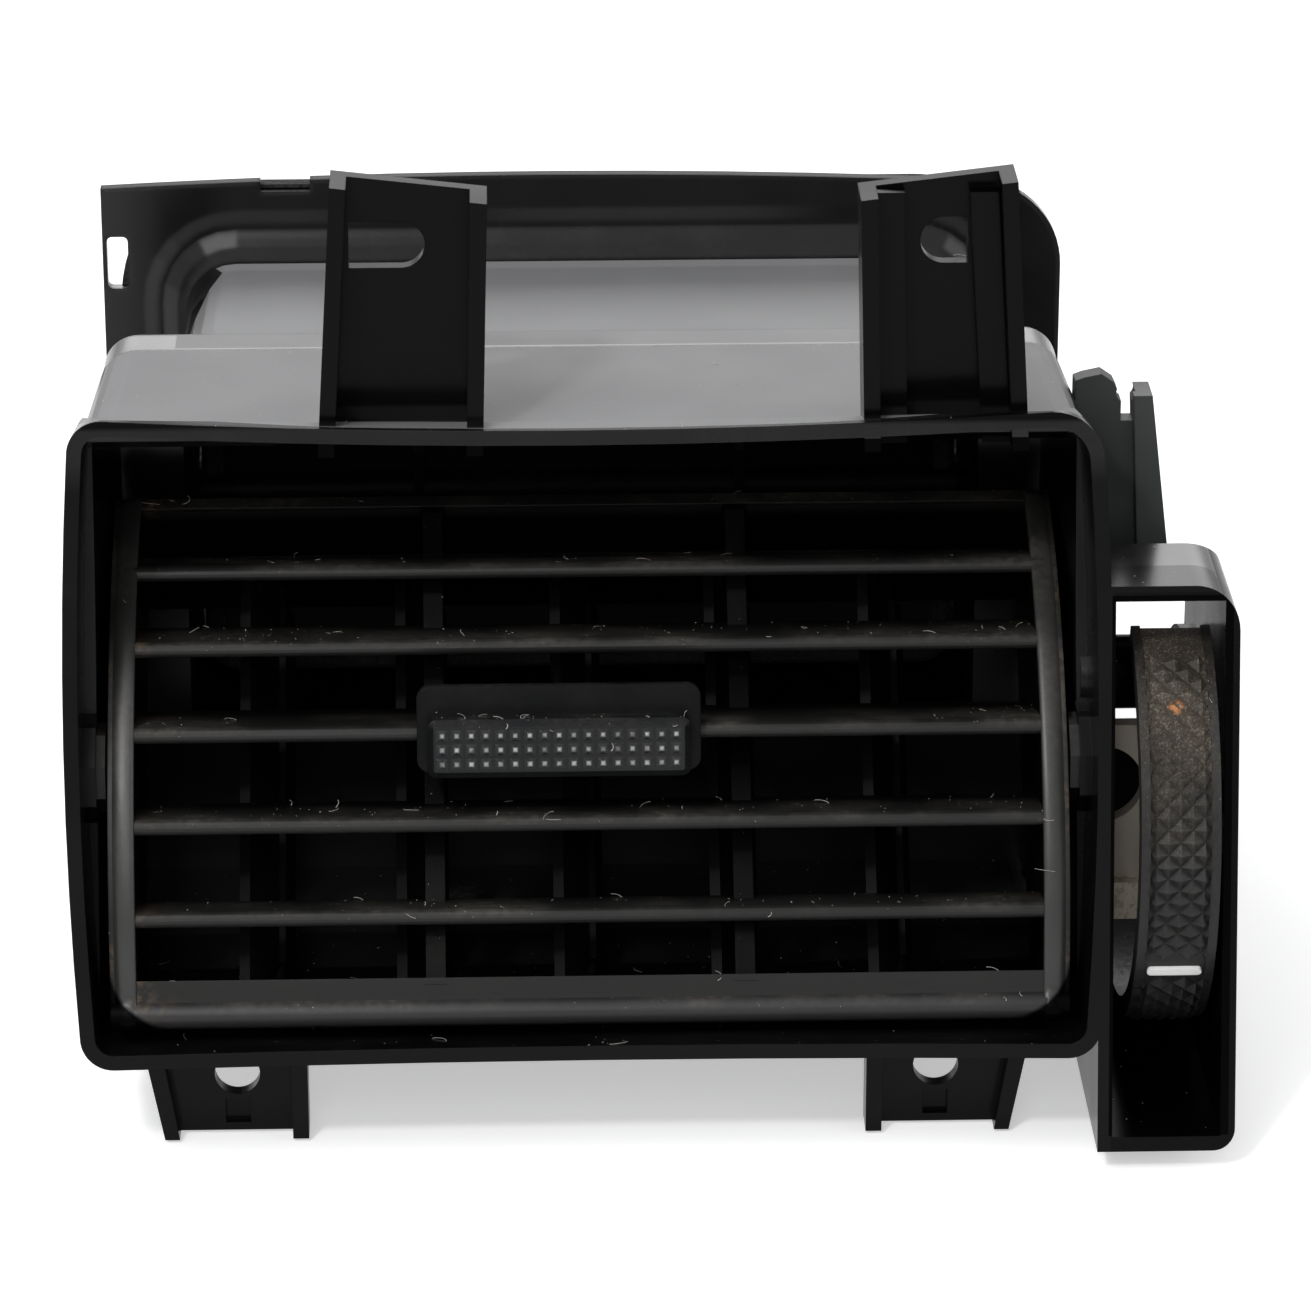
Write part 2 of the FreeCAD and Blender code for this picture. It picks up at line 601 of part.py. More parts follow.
def front_housing():
    outer = [
        rim_block(0.0, 0.0, RIM_DEPTH),
        body_block(0.0, BODY_FRONT_Y, BODY_REAR_Y),
        pocket_shell(),
    ]
    whole = outer[0].multiFuse(outer[1:])
    whole = whole.cut(turned_x(block(-120, 120, -60, 0, -90, 90), -RIM_LEAN))
    lip = [(LIP_FRONT_Y, 60.0), (LIP_FRONT_Y, BODY_TOP + LIP_DROP), (LIP_REAR_Y, BODY_TOP),
           (LIP_REAR_Y + 20.0, BODY_TOP), (LIP_REAR_Y + 20.0, 60.0)]
    whole = whole.cut(slab_x(lip, -90, 90))
    ceiling = BODY_TOP - BODY_WALL
    keep = [(LIP_INNER_Y, 60.0), (LIP_INNER_Y, BODY_TOP - 0.2), (LIP_INNER_Y + 2.8, ceiling),
            (LIP_INNER_Y + 20.0, ceiling), (LIP_INNER_Y + 20.0, 60.0)]
    mouth = rim_block(RIM_WALL, -1.0, RIM_DEPTH + 1.0).cut(slab_x(keep, -90, 90))
    whole = whole.cut(mouth)
    whole = whole.cut(body_block(BODY_WALL, BODY_FRONT_Y + BODY_WALL, BODY_REAR_Y + 1.0))
    right_upper = moved(upper_bracket(True), UPPER_CENTRE_X)
    left_upper = mirrored_x(moved(upper_bracket(False), UPPER_CENTRE_X), UPPER_CENTRE_X)
    right_lower = moved(lower_bracket(), LOWER_CENTRE_X)
    left_lower = mirrored_x(right_lower, LOWER_CENTRE_X)
    boss = bar_x(BODY_FRONT_HALF_WIDTH - BODY_WALL, BOSS_END, BOSS_Y, BOSS_Z, BOSS_RADIUS)
    axle_boss = bar_x(POCKET_LEFT, AXLE_BOSS_END, WHEEL_Y, WHEEL_Z, AXLE_BOSS_RADIUS)
    face = DRUM_HALF_WIDTH + DRUM_SIDE_GAP + BUSH_FLANGE
    tilt_right = prism_x(face, BODY_FRONT_HALF_WIDTH, PIVOT_Y, PIVOT_Z, TILT_BOSS_RADIUS)
    tilt_left = prism_x(-BODY_FRONT_HALF_WIDTH, -face, PIVOT_Y, PIVOT_Z, TILT_BOSS_RADIUS)
    whole = whole.multiFuse([right_upper, left_upper, right_lower, left_lower, boss, axle_boss,
                             tilt_right, tilt_left])
    rebate = block(-90, 90, BODY_REAR_Y - COLLAR_DEPTH, BODY_REAR_Y + 1, -90, 90)
    rebate = rebate.cut(rear_section(COLLAR_WALL, BODY_REAR_Y - COLLAR_DEPTH - 1, BODY_REAR_Y + 2))
    whole = whole.cut(rebate)
    for sign in (-1, 1):
        near = sign * (DRUM_HALF_WIDTH - 5.0)
        x0, x1 = sorted((near, sign * face))
        whole = whole.cut(prism_x(x0, x1, PIVOT_Y, PIVOT_Z, TILT_BOSS_RADIUS + DRUM_SIDE_GAP))
        x0, x1 = sorted((near, near + sign * 15.0))
        whole = whole.cut(prism_x(x0, x1, PIVOT_Y, PIVOT_Z, BUSH_OUTER_RADIUS + FIT_GAP))
    axle_hole = bar_x(POCKET_LEFT - 3, POCKET_RIGHT + 3, WHEEL_Y, WHEEL_Z, AXLE_RADIUS + FIT_GAP)
    head = bar_x(POCKET_RIGHT - AXLE_HEAD, POCKET_RIGHT + 1, WHEEL_Y, WHEEL_Z,
                 AXLE_HEAD_RADIUS + FIT_GAP)
    whole = whole.cut(axle_hole).cut(head)
    for peg in carrier_pegs(FIT_GAP) + arm_pegs(FIT_GAP):
        whole = whole.cut(peg)
    return whole.removeSplitter()


def duct_section(inset, y):
    share = (y - BODY_REAR_Y) / (DUCT_END_Y - BODY_REAR_Y)
    top = DUCT_TOP_FRONT + share * (DUCT_TOP_REAR - DUCT_TOP_FRONT) - inset
    return DUCT_HALF_WIDTH - inset, DUCT_BOTTOM + inset, top


def duct_block(inset, y0, y1):
    return slanting_block(duct_section(inset, y0), duct_section(inset, y1), DUCT_RADIUS - inset, y0, y1)


def flare_block(inset, steps):
    """The bell mouth between the duct and the flange, in steps along a quarter round."""
    sections = []
    for step in range(steps + 1):
        angle = math.radians(90.0 * step / steps)
        y = DUCT_END_Y + FLARE * math.sin(angle)
        grow = FLARE * (1 - math.cos(angle))
        half = DUCT_HALF_WIDTH - inset + grow
        sections.append(faceted_outline(half, DUCT_BOTTOM + inset - grow, DUCT_TOP_REAR - inset + grow,
                                        DUCT_RADIUS - inset + grow, y))
    return Part.makeLoft(sections, True, True)


def flange_plate():
    top = FLANGE_TOP
    crown = V((FLANGE_LEFT + FLANGE_RIGHT) / 2, FLANGE_Y, top + FLANGE_TOP_CROWN)
    k = FLANGE_RADIUS * (1 - math.sqrt(0.5))
    right = FLANGE_RIGHT
    low = FLANGE_BOTTOM
    y = FLANGE_Y
    edges = [
        Part.makeLine(V(FLANGE_LEFT, y, low), V(right - FLANGE_RADIUS, y, low)),
        Part.Arc(V(right - FLANGE_RADIUS, y, low), V(right - k, y, low + k),
                 V(right, y, low + FLANGE_RADIUS)).toShape(),
        Part.makeLine(V(right, y, low + FLANGE_RADIUS), V(right, y, top - FLANGE_RADIUS)),
        Part.Arc(V(right, y, top - FLANGE_RADIUS), V(right - k, y, top - k),
                 V(right - FLANGE_RADIUS, y, top)).toShape(),
        Part.Arc(V(right - FLANGE_RADIUS, y, top), crown, V(FLANGE_LEFT, y, top)).toShape(),
        Part.makeLine(V(FLANGE_LEFT, y, top), V(FLANGE_LEFT, y, low)),
    ]
    return Part.Face(Part.Wire(edges)).extrude(V(0, FLANGE_THICKNESS, 0))


def rear_duct():
    plate_y = BODY_REAR_Y
    plate = rear_section(0.0, plate_y, plate_y + DUCT_PLATE)
    collar = rear_section(0.0, plate_y - COLLAR_DEPTH, plate_y)
    collar = collar.cut(rear_section(COLLAR_WALL - FIT_GAP, plate_y - COLLAR_DEPTH - 1, plate_y))
    end = DUCT_END_Y
    whole = fused([plate, collar, duct_block(0.0, plate_y, end),
                   flare_block(0.0, FLARE_STEPS_OUTSIDE), flange_plate()])
    whole = whole.cut(duct_block(BODY_WALL, plate_y - 1.0, end))
    whole = whole.cut(flare_block(BODY_WALL, FLARE_STEPS_INSIDE))
    mouth_half = DUCT_HALF_WIDTH - BODY_WALL + FLARE
    mouth = faceted_outline(mouth_half, DUCT_BOTTOM + BODY_WALL - FLARE, DUCT_TOP_REAR - BODY_WALL + FLARE,
                            DUCT_RADIUS - BODY_WALL + FLARE, FLANGE_Y)
    whole = whole.cut(Part.Face(mouth).extrude(V(0, FLANGE_THICKNESS + 1, 0)))
    slot = round_slab_y(FLANGE_SLOT_X - FLANGE_SLOT_WIDTH / 2, FLANGE_SLOT_X + FLANGE_SLOT_WIDTH / 2,
                        FLANGE_SLOT_Z - FLANGE_SLOT_HEIGHT / 2, FLANGE_SLOT_Z + FLANGE_SLOT_HEIGHT / 2,
                        0.8, FLANGE_Y - 1, FLANGE_Y + FLANGE_THICKNESS + 1)
    whole = whole.cut(slot)
    bush_hole = FLAP_BUSH_RADIUS + FIT_GAP
    whole = whole.cut(prism_x(-DUCT_HALF_WIDTH - 5, DUCT_HALF_WIDTH + 5, FLAP_Y, FLAP_Z, bush_hole))
    notch = block(FLANGE_NOTCH_X - FLANGE_NOTCH_WIDTH / 2, FLANGE_NOTCH_X + FLANGE_NOTCH_WIDTH / 2,
                  FLANGE_Y - 1, FLANGE_Y + FLANGE_THICKNESS + 1,
                  FLANGE_TOP + FLANGE_TOP_CROWN / 2 - FLANGE_NOTCH_DEPTH, FLANGE_TOP + 10)
    return whole.cut(notch)


def inlet_gasket():
    y = FLANGE_Y + FLANGE_THICKNESS
    half = DUCT_HALF_WIDTH - BODY_WALL + FLARE + 0.4
    low = DUCT_BOTTOM + BODY_WALL - FLARE - 0.4
    high = DUCT_TOP_REAR - BODY_WALL + FLARE + 0.4
    radius = DUCT_RADIUS - BODY_WALL + FLARE
    w = GASKET_WIDTH
    ring = round_slab_y(-half - w, half + w, low - w, high + w, radius + w, y, y + GASKET_THICKNESS)
    return ring.cut(round_slab_y(-half, half, low, high, radius, y - 1, y + GASKET_THICKNESS + 1))


def face_point(angle, lift=0.0):
    """A point of the drum's curved face at an angle above its middle, as (y, z)."""
    a = math.radians(angle)
    radius = DRUM_FACE_RADIUS + lift
    return DRUM_FACE_Y - radius * math.cos(a), DRUM_FACE_Z + radius * math.sin(a)


def drum_outline(x):
    """The closed side outline of the drum: curved face, top edge, rear edge and rounded lower lip."""
    bottom = face_point(DRUM_BOTTOM_ANGLE)
    top = face_point(DRUM_TOP_ANGLE)
    middle = face_point((DRUM_TOP_ANGLE + DRUM_BOTTOM_ANGLE) / 2)
    lip = (DRUM_LIP_Y, DRUM_LIP_Z)
    bulge = ((bottom[0] + lip[0]) / 2 - 1.0, (bottom[1] + lip[1]) / 2 - 1.3)

    def at(point):
        return V(x, point[0], point[1])

    rear_top = (DRUM_REAR_Y, DRUM_REAR_TOP)
    rear_bottom = (DRUM_REAR_Y, DRUM_REAR_BOTTOM)
    edges = [
        Part.Arc(at(bottom), at(middle), at(top)).toShape(),
        Part.makeLine(at(top), at(rear_top)),
        Part.makeLine(at(rear_top), at(rear_bottom)),
        Part.makeLine(at(rear_bottom), at(lip)),
        Part.Arc(at(lip), at(bulge), at(bottom)).toShape(),
    ]
    return Part.Wire(edges)


def drum_profile(x0, x1):
    return Part.Face(drum_outline(x0)).extrude(V(x1 - x0, 0, 0))


def slat_front(index):
    return face_point(SLAT_FIRST_ANGLE + index * SLAT_STEP_ANGLE)


def slat(index):
    """One fixed slat: a rounded front on the drum's face and a thinner rear edge."""
    y, z = slat_front(index)
    slope = math.radians(SLAT_SLOPE)
    length = (SLAT_REAR_Y - y) / math.cos(slope)
    half = SLAT_FRONT_THICKNESS / 2
    thin = SLAT_REAR_THICKNESS / 2
    reach = DRUM_HALF_WIDTH - DRUM_SIDE / 2
    outline = []
    for step in range(SLAT_NOSE_STEPS + 1):
        a = math.pi * step / SLAT_NOSE_STEPS
        outline.append((half - half * math.sin(a), half * math.cos(a)))
    outline += [(length, -thin), (length, thin)]
    solid = slab_x(outline, -reach, reach)
    solid.rotate(V(0, 0, 0), X_AXIS, SLAT_SLOPE)
    solid.translate(V(0, y, z))
    return solid


def place_in_vent(shape):
    """Carries a shape from the drum's frame to its place in the vent."""
    placed = turned_x(shape, -(RIM_LEAN + DRUM_TILT))
    placed.translate(V(0, PIVOT_Y, PIVOT_Z))
    return placed


def vane_x(index):
    return (index - (VANE_COUNT - 1) / 2) * VANE_PITCH


def louvre_drum():
    half = DRUM_HALF_WIDTH
    inner = half - DRUM_SIDE
    plate = drum_profile(-DRUM_REAR_HALF_WIDTH, DRUM_REAR_HALF_WIDTH)
    frame = drum_profile(-half, half).common(block(-half, half, -20, DRUM_FRAME_DEPTH, -60, 60))
    whole = plate.fuse(frame)
    # The opening through the drum, between its top plate and its bottom pan
    top = face_point(DRUM_TOP_ANGLE)
    bottom = face_point(DRUM_BOTTOM_ANGLE)
    p = DRUM_PLATE
    run = DRUM_REAR_Y - top[0]
    rise = DRUM_REAR_TOP - top[1]
    hollow = slab_x([
        (-20.0, top[1] - p), (top[0], top[1] - p), (DRUM_REAR_Y + 1, DRUM_REAR_TOP - p + rise / run),
        (DRUM_REAR_Y + 1, DRUM_REAR_BOTTOM + p + 0.4), (DRUM_LIP_Y + 0.6, DRUM_LIP_Z + p + 0.3),
        (bottom[0] + 2.4, bottom[1] + 2.6), (bottom[0] - 1.0, bottom[1] + 2.6), (-20.0, bottom[1] + 2.6),
    ], -inner, inner)
    whole = whole.cut(hollow)
    slats = [slat(i) for i in range(SLAT_COUNT)]
    ribs = []
    for sign in (-1, 1):
        x = sign * RIB_X
        ribs.append(block(x - RIB_WIDTH / 2, x + RIB_WIDTH / 2, RIB_FRONT_Y, SLAT_REAR_Y,
                          bottom[1] + 1.5, top[1] - 3.0))
    trunnions = [
        bar_x(half - 1.0, TRUNNION_END, 0, 0, TRUNNION_RADIUS),
        bar_x(-TRUNNION_END, -half + 1.0, 0, 0, TRUNNION_RADIUS),
    ]
    whole = whole.multiFuse(slats + ribs + trunnions)
    for index in range(VANE_COUNT):
        x = vane_x(index)
        seat = VANE_PIN_RADIUS + PIN_CLEARANCE
        throat = VANE_PIN_RADIUS - VANE_SNAP
        whole = whole.cut(block(x - seat, x + seat, VANE_AXIS_Y - seat, VANE_AXIS_Y + seat, -60, 60))
        whole = whole.cut(block(x - throat, x + throat, VANE_AXIS_Y, DRUM_REAR_Y + 1, -60, 60))
    return place_in_vent(whole.removeSplitter())


def pan_inner(y):
    """Height of the drum's bottom pan, on its inner side, at a depth y."""
    y0, z0 = DRUM_LIP_Y + 0.6, DRUM_LIP_Z + DRUM_PLATE + 0.3
    y1, z1 = DRUM_REAR_Y + 1, DRUM_REAR_BOTTOM + DRUM_PLATE + 0.4
    return z0 + (y - y0) * (z1 - z0) / (y1 - y0)


def plate_inner(y):
    """Height of the drum's top plate, on its inner side, at a depth y."""
    top = face_point(DRUM_TOP_ANGLE)
    slope = (DRUM_REAR_TOP - top[1]) / (DRUM_REAR_Y - top[0])
    return top[1] - DRUM_PLATE + (y - top[0]) * slope


def vane_angle():
    return math.degrees(SLIDER_OFFSET / DRIVE_ARM)


def vane(index):
    """A vane with its pivot pins and link pin; the middle one also has the notch and drive pin."""
    half = VANE_THICKNESS / 2
    axis_low = pan_inner(VANE_AXIS_Y)
    axis_high = plate_inner(VANE_AXIS_Y)
    outline = [
        (VANE_FRONT_Y, pan_inner(VANE_FRONT_Y) + VANE_FRONT_GAP),
        (VANE_REAR_Y, pan_inner(VANE_REAR_Y) + VANE_GAP + 0.9),
        (VANE_REAR_Y, plate_inner(VANE_REAR_Y) - 3 * VANE_GAP),
        (VANE_AXIS_Y - 5.0, VANE_TOP), (VANE_FRONT_Y, VANE_TOP),
    ]
    blade = slab_x(outline, -half, half)
    thick = VANE_PIN_RADIUS + 0.5
    barrel = block(-thick, thick, VANE_AXIS_Y - thick, VANE_AXIS_Y + thick,
                   axis_low + VANE_GAP + 0.9, axis_high - 2.6)
    pins = bar_z(axis_low - DRUM_PLATE, axis_high + DRUM_PLATE * 0.7, 0, VANE_AXIS_Y, VANE_PIN_RADIUS)
    link_pin = prism_z(VANE_TOP - 3.0, LINK_Z + LINK_THICKNESS, 0, VANE_AXIS_Y - LINK_ARM,
                       VANE_PIN_RADIUS)
    whole = blade.multiFuse([barrel, pins, link_pin])
    if index == (VANE_COUNT - 1) // 2:
        whole = whole.cut(block(-5, 5, VANE_FRONT_Y - 1, NOTCH_DEPTH_Y, NOTCH_BOTTOM, NOTCH_TOP))
        drive = bar_z(NOTCH_BOTTOM - 1, NOTCH_TOP + 1, 0, VANE_AXIS_Y - DRIVE_ARM, DRIVE_PIN_RADIUS)
        whole = whole.fuse(drive)
    whole = whole.removeSplitter()
    whole.rotate(V(0, VANE_AXIS_Y, 0), Z_AXIS, vane_angle())
    whole.translate(V(vane_x(index), 0, 0))
    return place_in_vent(whole)


def vane_link():
    """The flat bar that joins the five vanes; its slots let the link pins swing fore and aft."""
    dx = LINK_ARM * math.sin(math.radians(vane_angle()))
    near = VANE_AXIS_Y - LINK_ARM
    far = VANE_AXIS_Y - LINK_ARM * math.cos(math.radians(VANE_SWING))
    y = (near + far) / 2
    first = vane_x(0) + dx
    last = vane_x(VANE_COUNT - 1) + dx
    r = LINK_WIDTH / 2
    z0 = LINK_Z
    z1 = LINK_Z + LINK_THICKNESS
    whole = block(first - r, last + r, y - r, y + r, z0, z1)
    wide = VANE_PIN_RADIUS + LINK_SLOT_GAP
    for index in range(VANE_COUNT):
        x = vane_x(index) + dx
        whole = whole.cut(block(x - wide, x + wide, near - wide, far + wide, z0 - 1, z1 + 1))
    return place_in_vent(whole)


def on_middle_slat(shape):
    """Carries a shape drawn along the middle slat, from its nose back, to its place in the vent."""
    y, z = slat_front((SLAT_COUNT - 1) // 2)
    placed = turned_x(shape, SLAT_SLOPE)
    placed.translate(V(SLIDER_OFFSET, y, z))
    return place_in_vent(placed)


def slider_clip():
    """The slider's clip: a face plate, two plates that embrace the slat, and a fork at the rear."""
    y_slat, z_slat = slat_front((SLAT_COUNT - 1) // 2)
    slope = math.radians(SLAT_SLOPE)
    slat_length = (SLAT_REAR_Y - y_slat) / math.cos(slope)
    half = CLIP_WIDTH / 2
    near = SLAT_FRONT_THICKNESS / 2 + SLIDE_GAP
    front = -SLIDE_GAP - CLIP_FRONT
    face = round_slab_y(-CLIP_FACE_WIDTH / 2, CLIP_FACE_WIDTH / 2, CLIP_FACE_BOTTOM, CLIP_FACE_TOP,
                        CLIP_FACE_RADIUS, front, -SLIDE_GAP)
    rear = slat_length + SLIDE_GAP
    upper = block(-half, half, front, rear + CLIP_PLATE, near, near + CLIP_PLATE)
    lower = block(-half, half, front, rear + CLIP_PLATE, -near - CLIP_PLATE, -near)
    back = block(-half, half, rear, rear + CLIP_PLATE, -near - CLIP_PLATE, near + CLIP_PLATE)
    # The fork's prongs stand either side of the drive pin
    pin_y = VANE_AXIS_Y - DRIVE_ARM * math.cos(math.radians(vane_angle()))
    reach = (pin_y - y_slat) / math.cos(slope) + 2.0
    inner = DRIVE_PIN_RADIUS + FORK_GAP
    prongs = []
    for sign in (-1, 1):
        x0 = min(sign * inner, sign * (inner + FORK_PRONG))
        prongs.append(block(x0, x0 + FORK_PRONG, rear + CLIP_PLATE - 0.5, reach,
                            -SLAT_REAR_THICKNESS, SLAT_REAR_THICKNESS * 0.6))
    return on_middle_slat(fused([face, upper, lower, back] + prongs))


def slider_grip():
    """The soft thumb grip with its field of small square studs."""
    front = -SLIDE_GAP - CLIP_FRONT - GRIP_DEPTH
    half = GRIP_WIDTH / 2
    rear = -SLIDE_GAP - CLIP_FRONT
    body = round_slab_y(-half, half, GRIP_BOTTOM, GRIP_TOP, GRIP_RADIUS, front, rear)
    rounded = [e for e in body.Edges if abs(e.BoundBox.YMin - front) < 0.01
               and abs(e.BoundBox.YMax - front) < 0.01]
    body = body.makeChamfer(GRIP_EDGE, rounded)
    middle = (GRIP_TOP + GRIP_BOTTOM) / 2
    studs = []
    s = STUD_SIZE / 2
    for column in range(STUD_COLUMNS):
        for row in range(STUD_ROWS):
            x = (column - (STUD_COLUMNS - 1) / 2) * STUD_PITCH_X
            z = middle + (row - (STUD_ROWS - 1) / 2) * STUD_PITCH_Z
            ring = [V(x - s, front, z - s), V(x + s, front, z - s), V(x + s, front, z + s),
                    V(x - s, front, z + s)]
            faces = [Part.Face(Part.makePolygon(ring + ring[:1]))]
            tip = V(x, front - STUD_HEIGHT, z)
            for i in range(4):
                faces.append(Part.Face(Part.makePolygon([ring[i], ring[(i + 1) % 4], tip, ring[i]])))
            studs.append(Part.Solid(Part.Shell(faces)))
    return on_middle_slat(body.multiFuse(studs))


def wheel_sector(radius, x0, x1, first, last):
    """A solid sector about the wheel's axis; angles are above straight ahead."""
    span = last - first
    disc = Part.makeCylinder(radius, x1 - x0, V(x0, 0, 0), X_AXIS, span)
    # An angle of zero points to the front, which is 180 degrees round from the solid's own start
    start = V(x0, 0, 0)
    probe = disc.CenterOfMass
    now = math.degrees(math.atan2(probe.z, -probe.y))
    want = (first + last) / 2
    disc.rotate(start, X_AXIS, now - want)
    return moved(disc, 0, WHEEL_Y, WHEEL_Z)


def crank_point(y, z):
    a = math.radians(CRANK_ANGLE)
    return y + CRANK_RADIUS * math.cos(a), z + CRANK_RADIUS * math.sin(a)


def thumbwheel():
    right = WHEEL_RIGHT
    ring = wheel_sector(WHEEL_RADIUS, WHEEL_LEFT, right, WHEEL_ARC_BOTTOM, WHEEL_ARC_TOP)
    ring = ring.cut(bar_x(WHEEL_LEFT - 1, right + 1, WHEEL_Y, WHEEL_Z,
                          WHEEL_RADIUS - WHEEL_RIM_THICKNESS))
    tread = bar_x(WHEEL_LEFT + WHEEL_LIP, right - WHEEL_LIP, WHEEL_Y, WHEEL_Z, WHEEL_RADIUS + 1.0)
    tread = tread.cut(bar_x(WHEEL_LEFT, right, WHEEL_Y, WHEEL_Z, WHEEL_RADIUS - TREAD_DEPTH))
    ring = ring.cut(tread)
    web_sector = wheel_sector(WHEEL_RADIUS - 1.0, right - WHEEL_WEB, right, WHEEL_ARC_BOTTOM,
                              WHEEL_ARC_TOP)
    web = bar_x(right - WHEEL_WEB, right, WHEEL_Y, WHEEL_Z, WHEEL_WEB_RADIUS)
    hub = bar_x(WHEEL_HUB_LEFT, right, WHEEL_Y, WHEEL_Z, WHEEL_HUB_RADIUS)
    pin_y, pin_z = crank_point(WHEEL_Y, WHEEL_Z)
    pin = bar_x(ROD_LEFT - 0.4, right, pin_y, pin_z, CRANK_PIN_RADIUS)
    half = CRANK_PIN_RADIUS + 1.2
    stem = block(ROD_LEFT + ROD_THICKNESS + 0.3, right, pin_y - half, pin_y + half,
                 pin_z - half, pin_z + half)
    whole = fused([ring, web_sector, web, hub, pin, stem])
    whole = whole.cut(bar_x(WHEEL_LEFT - 5, right + 5, WHEEL_Y, WHEEL_Z, AXLE_RADIUS + PIN_CLEARANCE))
    return whole.cut(mark_block(MARK_DEPTH, FIT_GAP))


def mark_block(depth, gap):
    """The bar-shaped pad of the white mark, let into the wheel's tread."""
    middle = (WHEEL_LEFT + WHEEL_RIGHT) / 2
    half = MARK_LENGTH / 2 + gap
    tall = MARK_WIDTH / 2 + gap
    pad = round_slab_y(middle - half, middle + half, -tall, tall, tall * 0.95,
                       -WHEEL_RADIUS - 0.1, -WHEEL_RADIUS + depth)
    return moved(turned_x(pad, -MARK_ANGLE), 0, WHEEL_Y, WHEEL_Z)


def wheel_mark():
    return mark_block(MARK_DEPTH - FIT_GAP, 0.0)


def wheel_axle():
    left = BODY_FRONT_HALF_WIDTH - BODY_WALL - 0.6
    pin = bar_x(left, POCKET_RIGHT, WHEEL_Y, WHEEL_Z, AXLE_RADIUS)
    head = bar_x(POCKET_RIGHT - AXLE_HEAD, POCKET_RIGHT, WHEEL_Y, WHEEL_Z, AXLE_HEAD_RADIUS)
    return fused([pin, head])


def wheel_carrier():
    """The wall with a round window, its block and the ribs that seat it on the housing's side."""
    rear = CARRIER_FRONT_Y + CARRIER_THICKNESS
    wall = block(CARRIER_LEFT, CARRIER_RIGHT, CARRIER_FRONT_Y, rear, CARRIER_BOTTOM, CARRIER_TOP)
    window = bar_y(CARRIER_FRONT_Y - 1, rear + 1, CARRIER_LEFT, CARRIER_WINDOW_Z,
                   CARRIER_WINDOW_RADIUS)
    solid = block(CARRIER_LEFT, CARRIER_RIGHT, CARRIER_FRONT_Y - CARRIER_BLOCK_STEP, CARRIER_BLOCK_REAR_Y,
                  CARRIER_BOTTOM, CARRIER_BLOCK_TOP)
    return fused([wall.cut(window), solid] + carrier_pegs(0.0))


def carrier_pegs(gap):
    left = CARRIER_LEFT - CARRIER_PEG_DEPTH - gap
    half = CARRIER_PEG_HALF + gap
    return [block(left, CARRIER_LEFT + 0.5, y - half, y + half, CARRIER_PEG_Z - half,
                  CARRIER_PEG_Z + half) for y in CARRIER_PEG_Y]


def link_rod():
    """The rod from the wheel's crank pin to the flap's crank pin."""
    y0, z0 = crank_point(WHEEL_Y, WHEEL_Z)
    y1, z1 = crank_point(FLAP_Y, FLAP_Z)
    length = math.hypot(y1 - y0, z1 - z0)
    x0 = ROD_LEFT
    x1 = ROD_LEFT + ROD_THICKNESS
    bar = block(x0, x1, 0, length, -ROD_WIDTH / 2, ROD_WIDTH / 2)
    groove = block(x1 - 0.6, x1 + 1, 6, length - 6, -ROD_WIDTH / 2 + 1.1, ROD_WIDTH / 2 - 1.1)
    eyes = [bar_x(x0, x1, y, 0, ROD_EYE_RADIUS) for y in (0, length)]
    whole = fused([bar] + eyes).cut(groove)
    for y in (0, length):
        whole = whole.cut(bar_x(x0 - 1, x1 + 1, y, 0, CRANK_PIN_RADIUS + PIN_CLEARANCE))
    whole.rotate(V(0, 0, 0), X_AXIS, math.degrees(math.atan2(z1 - z0, y1 - y0)))
    return moved(whole, 0, y0, z0)


def flap_half_width():
    return DUCT_HALF_WIDTH - BODY_WALL - FLAP_SIDE_GAP


def flap_plate(half_width, half_chord, radius, thickness):
    """A plate in the flap's own plane, with round corners."""
    plate = round_slab_y(-half_width, half_width, -half_chord, half_chord, radius,
                         -thickness / 2, thickness / 2)
    return turned_x(plate, 90.0)


def place_flap(shape):
    return moved(turned_x(shape, FLAP_REST), 0, FLAP_Y, FLAP_Z)


def flap():
    """The shut-off blade on its shaft, with stiffening ribs, in its shut place."""
    half = flap_half_width() - SEAL_WIDTH
    chord = FLAP_CHORD / 2 - SEAL_WIDTH
    t = FLAP_THICKNESS / 2
    blade = flap_plate(half, chord, SEAL_RADIUS - SEAL_WIDTH, FLAP_THICKNESS)
    left = -DUCT_HALF_WIDTH + 0.2
    shaft = bar_x(left, CRANK_LEFT + CRANK_THICKNESS, 0, 0, FLAP_SHAFT_RADIUS)
    ribs = []
    for sign in (-1, 1):
        ribs.append(slab_x([(-chord + 4, t), (chord - 4, t), (6, t + 2.2), (-6, t + 2.2)],
                           sign * half * 0.45 - 0.8, sign * half * 0.45 + 0.8))
    whole = fused([blade, shaft] + ribs)
    flat = block(CRANK_LEFT - 0.2, CRANK_LEFT + 5, -5, 5, FLAP_SHAFT_RADIUS * 0.6, 5)
    return place_flap(whole.cut(flat))


def flap_seal(side):
    """One half of the foam edge strip that closes the gap between the blade and the duct."""
    half = flap_half_width()
    chord = FLAP_CHORD / 2
    w = SEAL_WIDTH
    ring = flap_plate(half, chord, SEAL_RADIUS, SEAL_THICKNESS)
    ring = ring.cut(flap_plate(half - w, chord - w, SEAL_RADIUS - w, SEAL_THICKNESS + 2))
    ring = ring.cut(bar_x(-half - 1, half + 1, 0, 0, FLAP_SHAFT_RADIUS + 0.2))
    y0, y1 = sorted((0, side * 60))
    return place_flap(ring.common(block(-90, 90, y0, y1, -10, 10)))


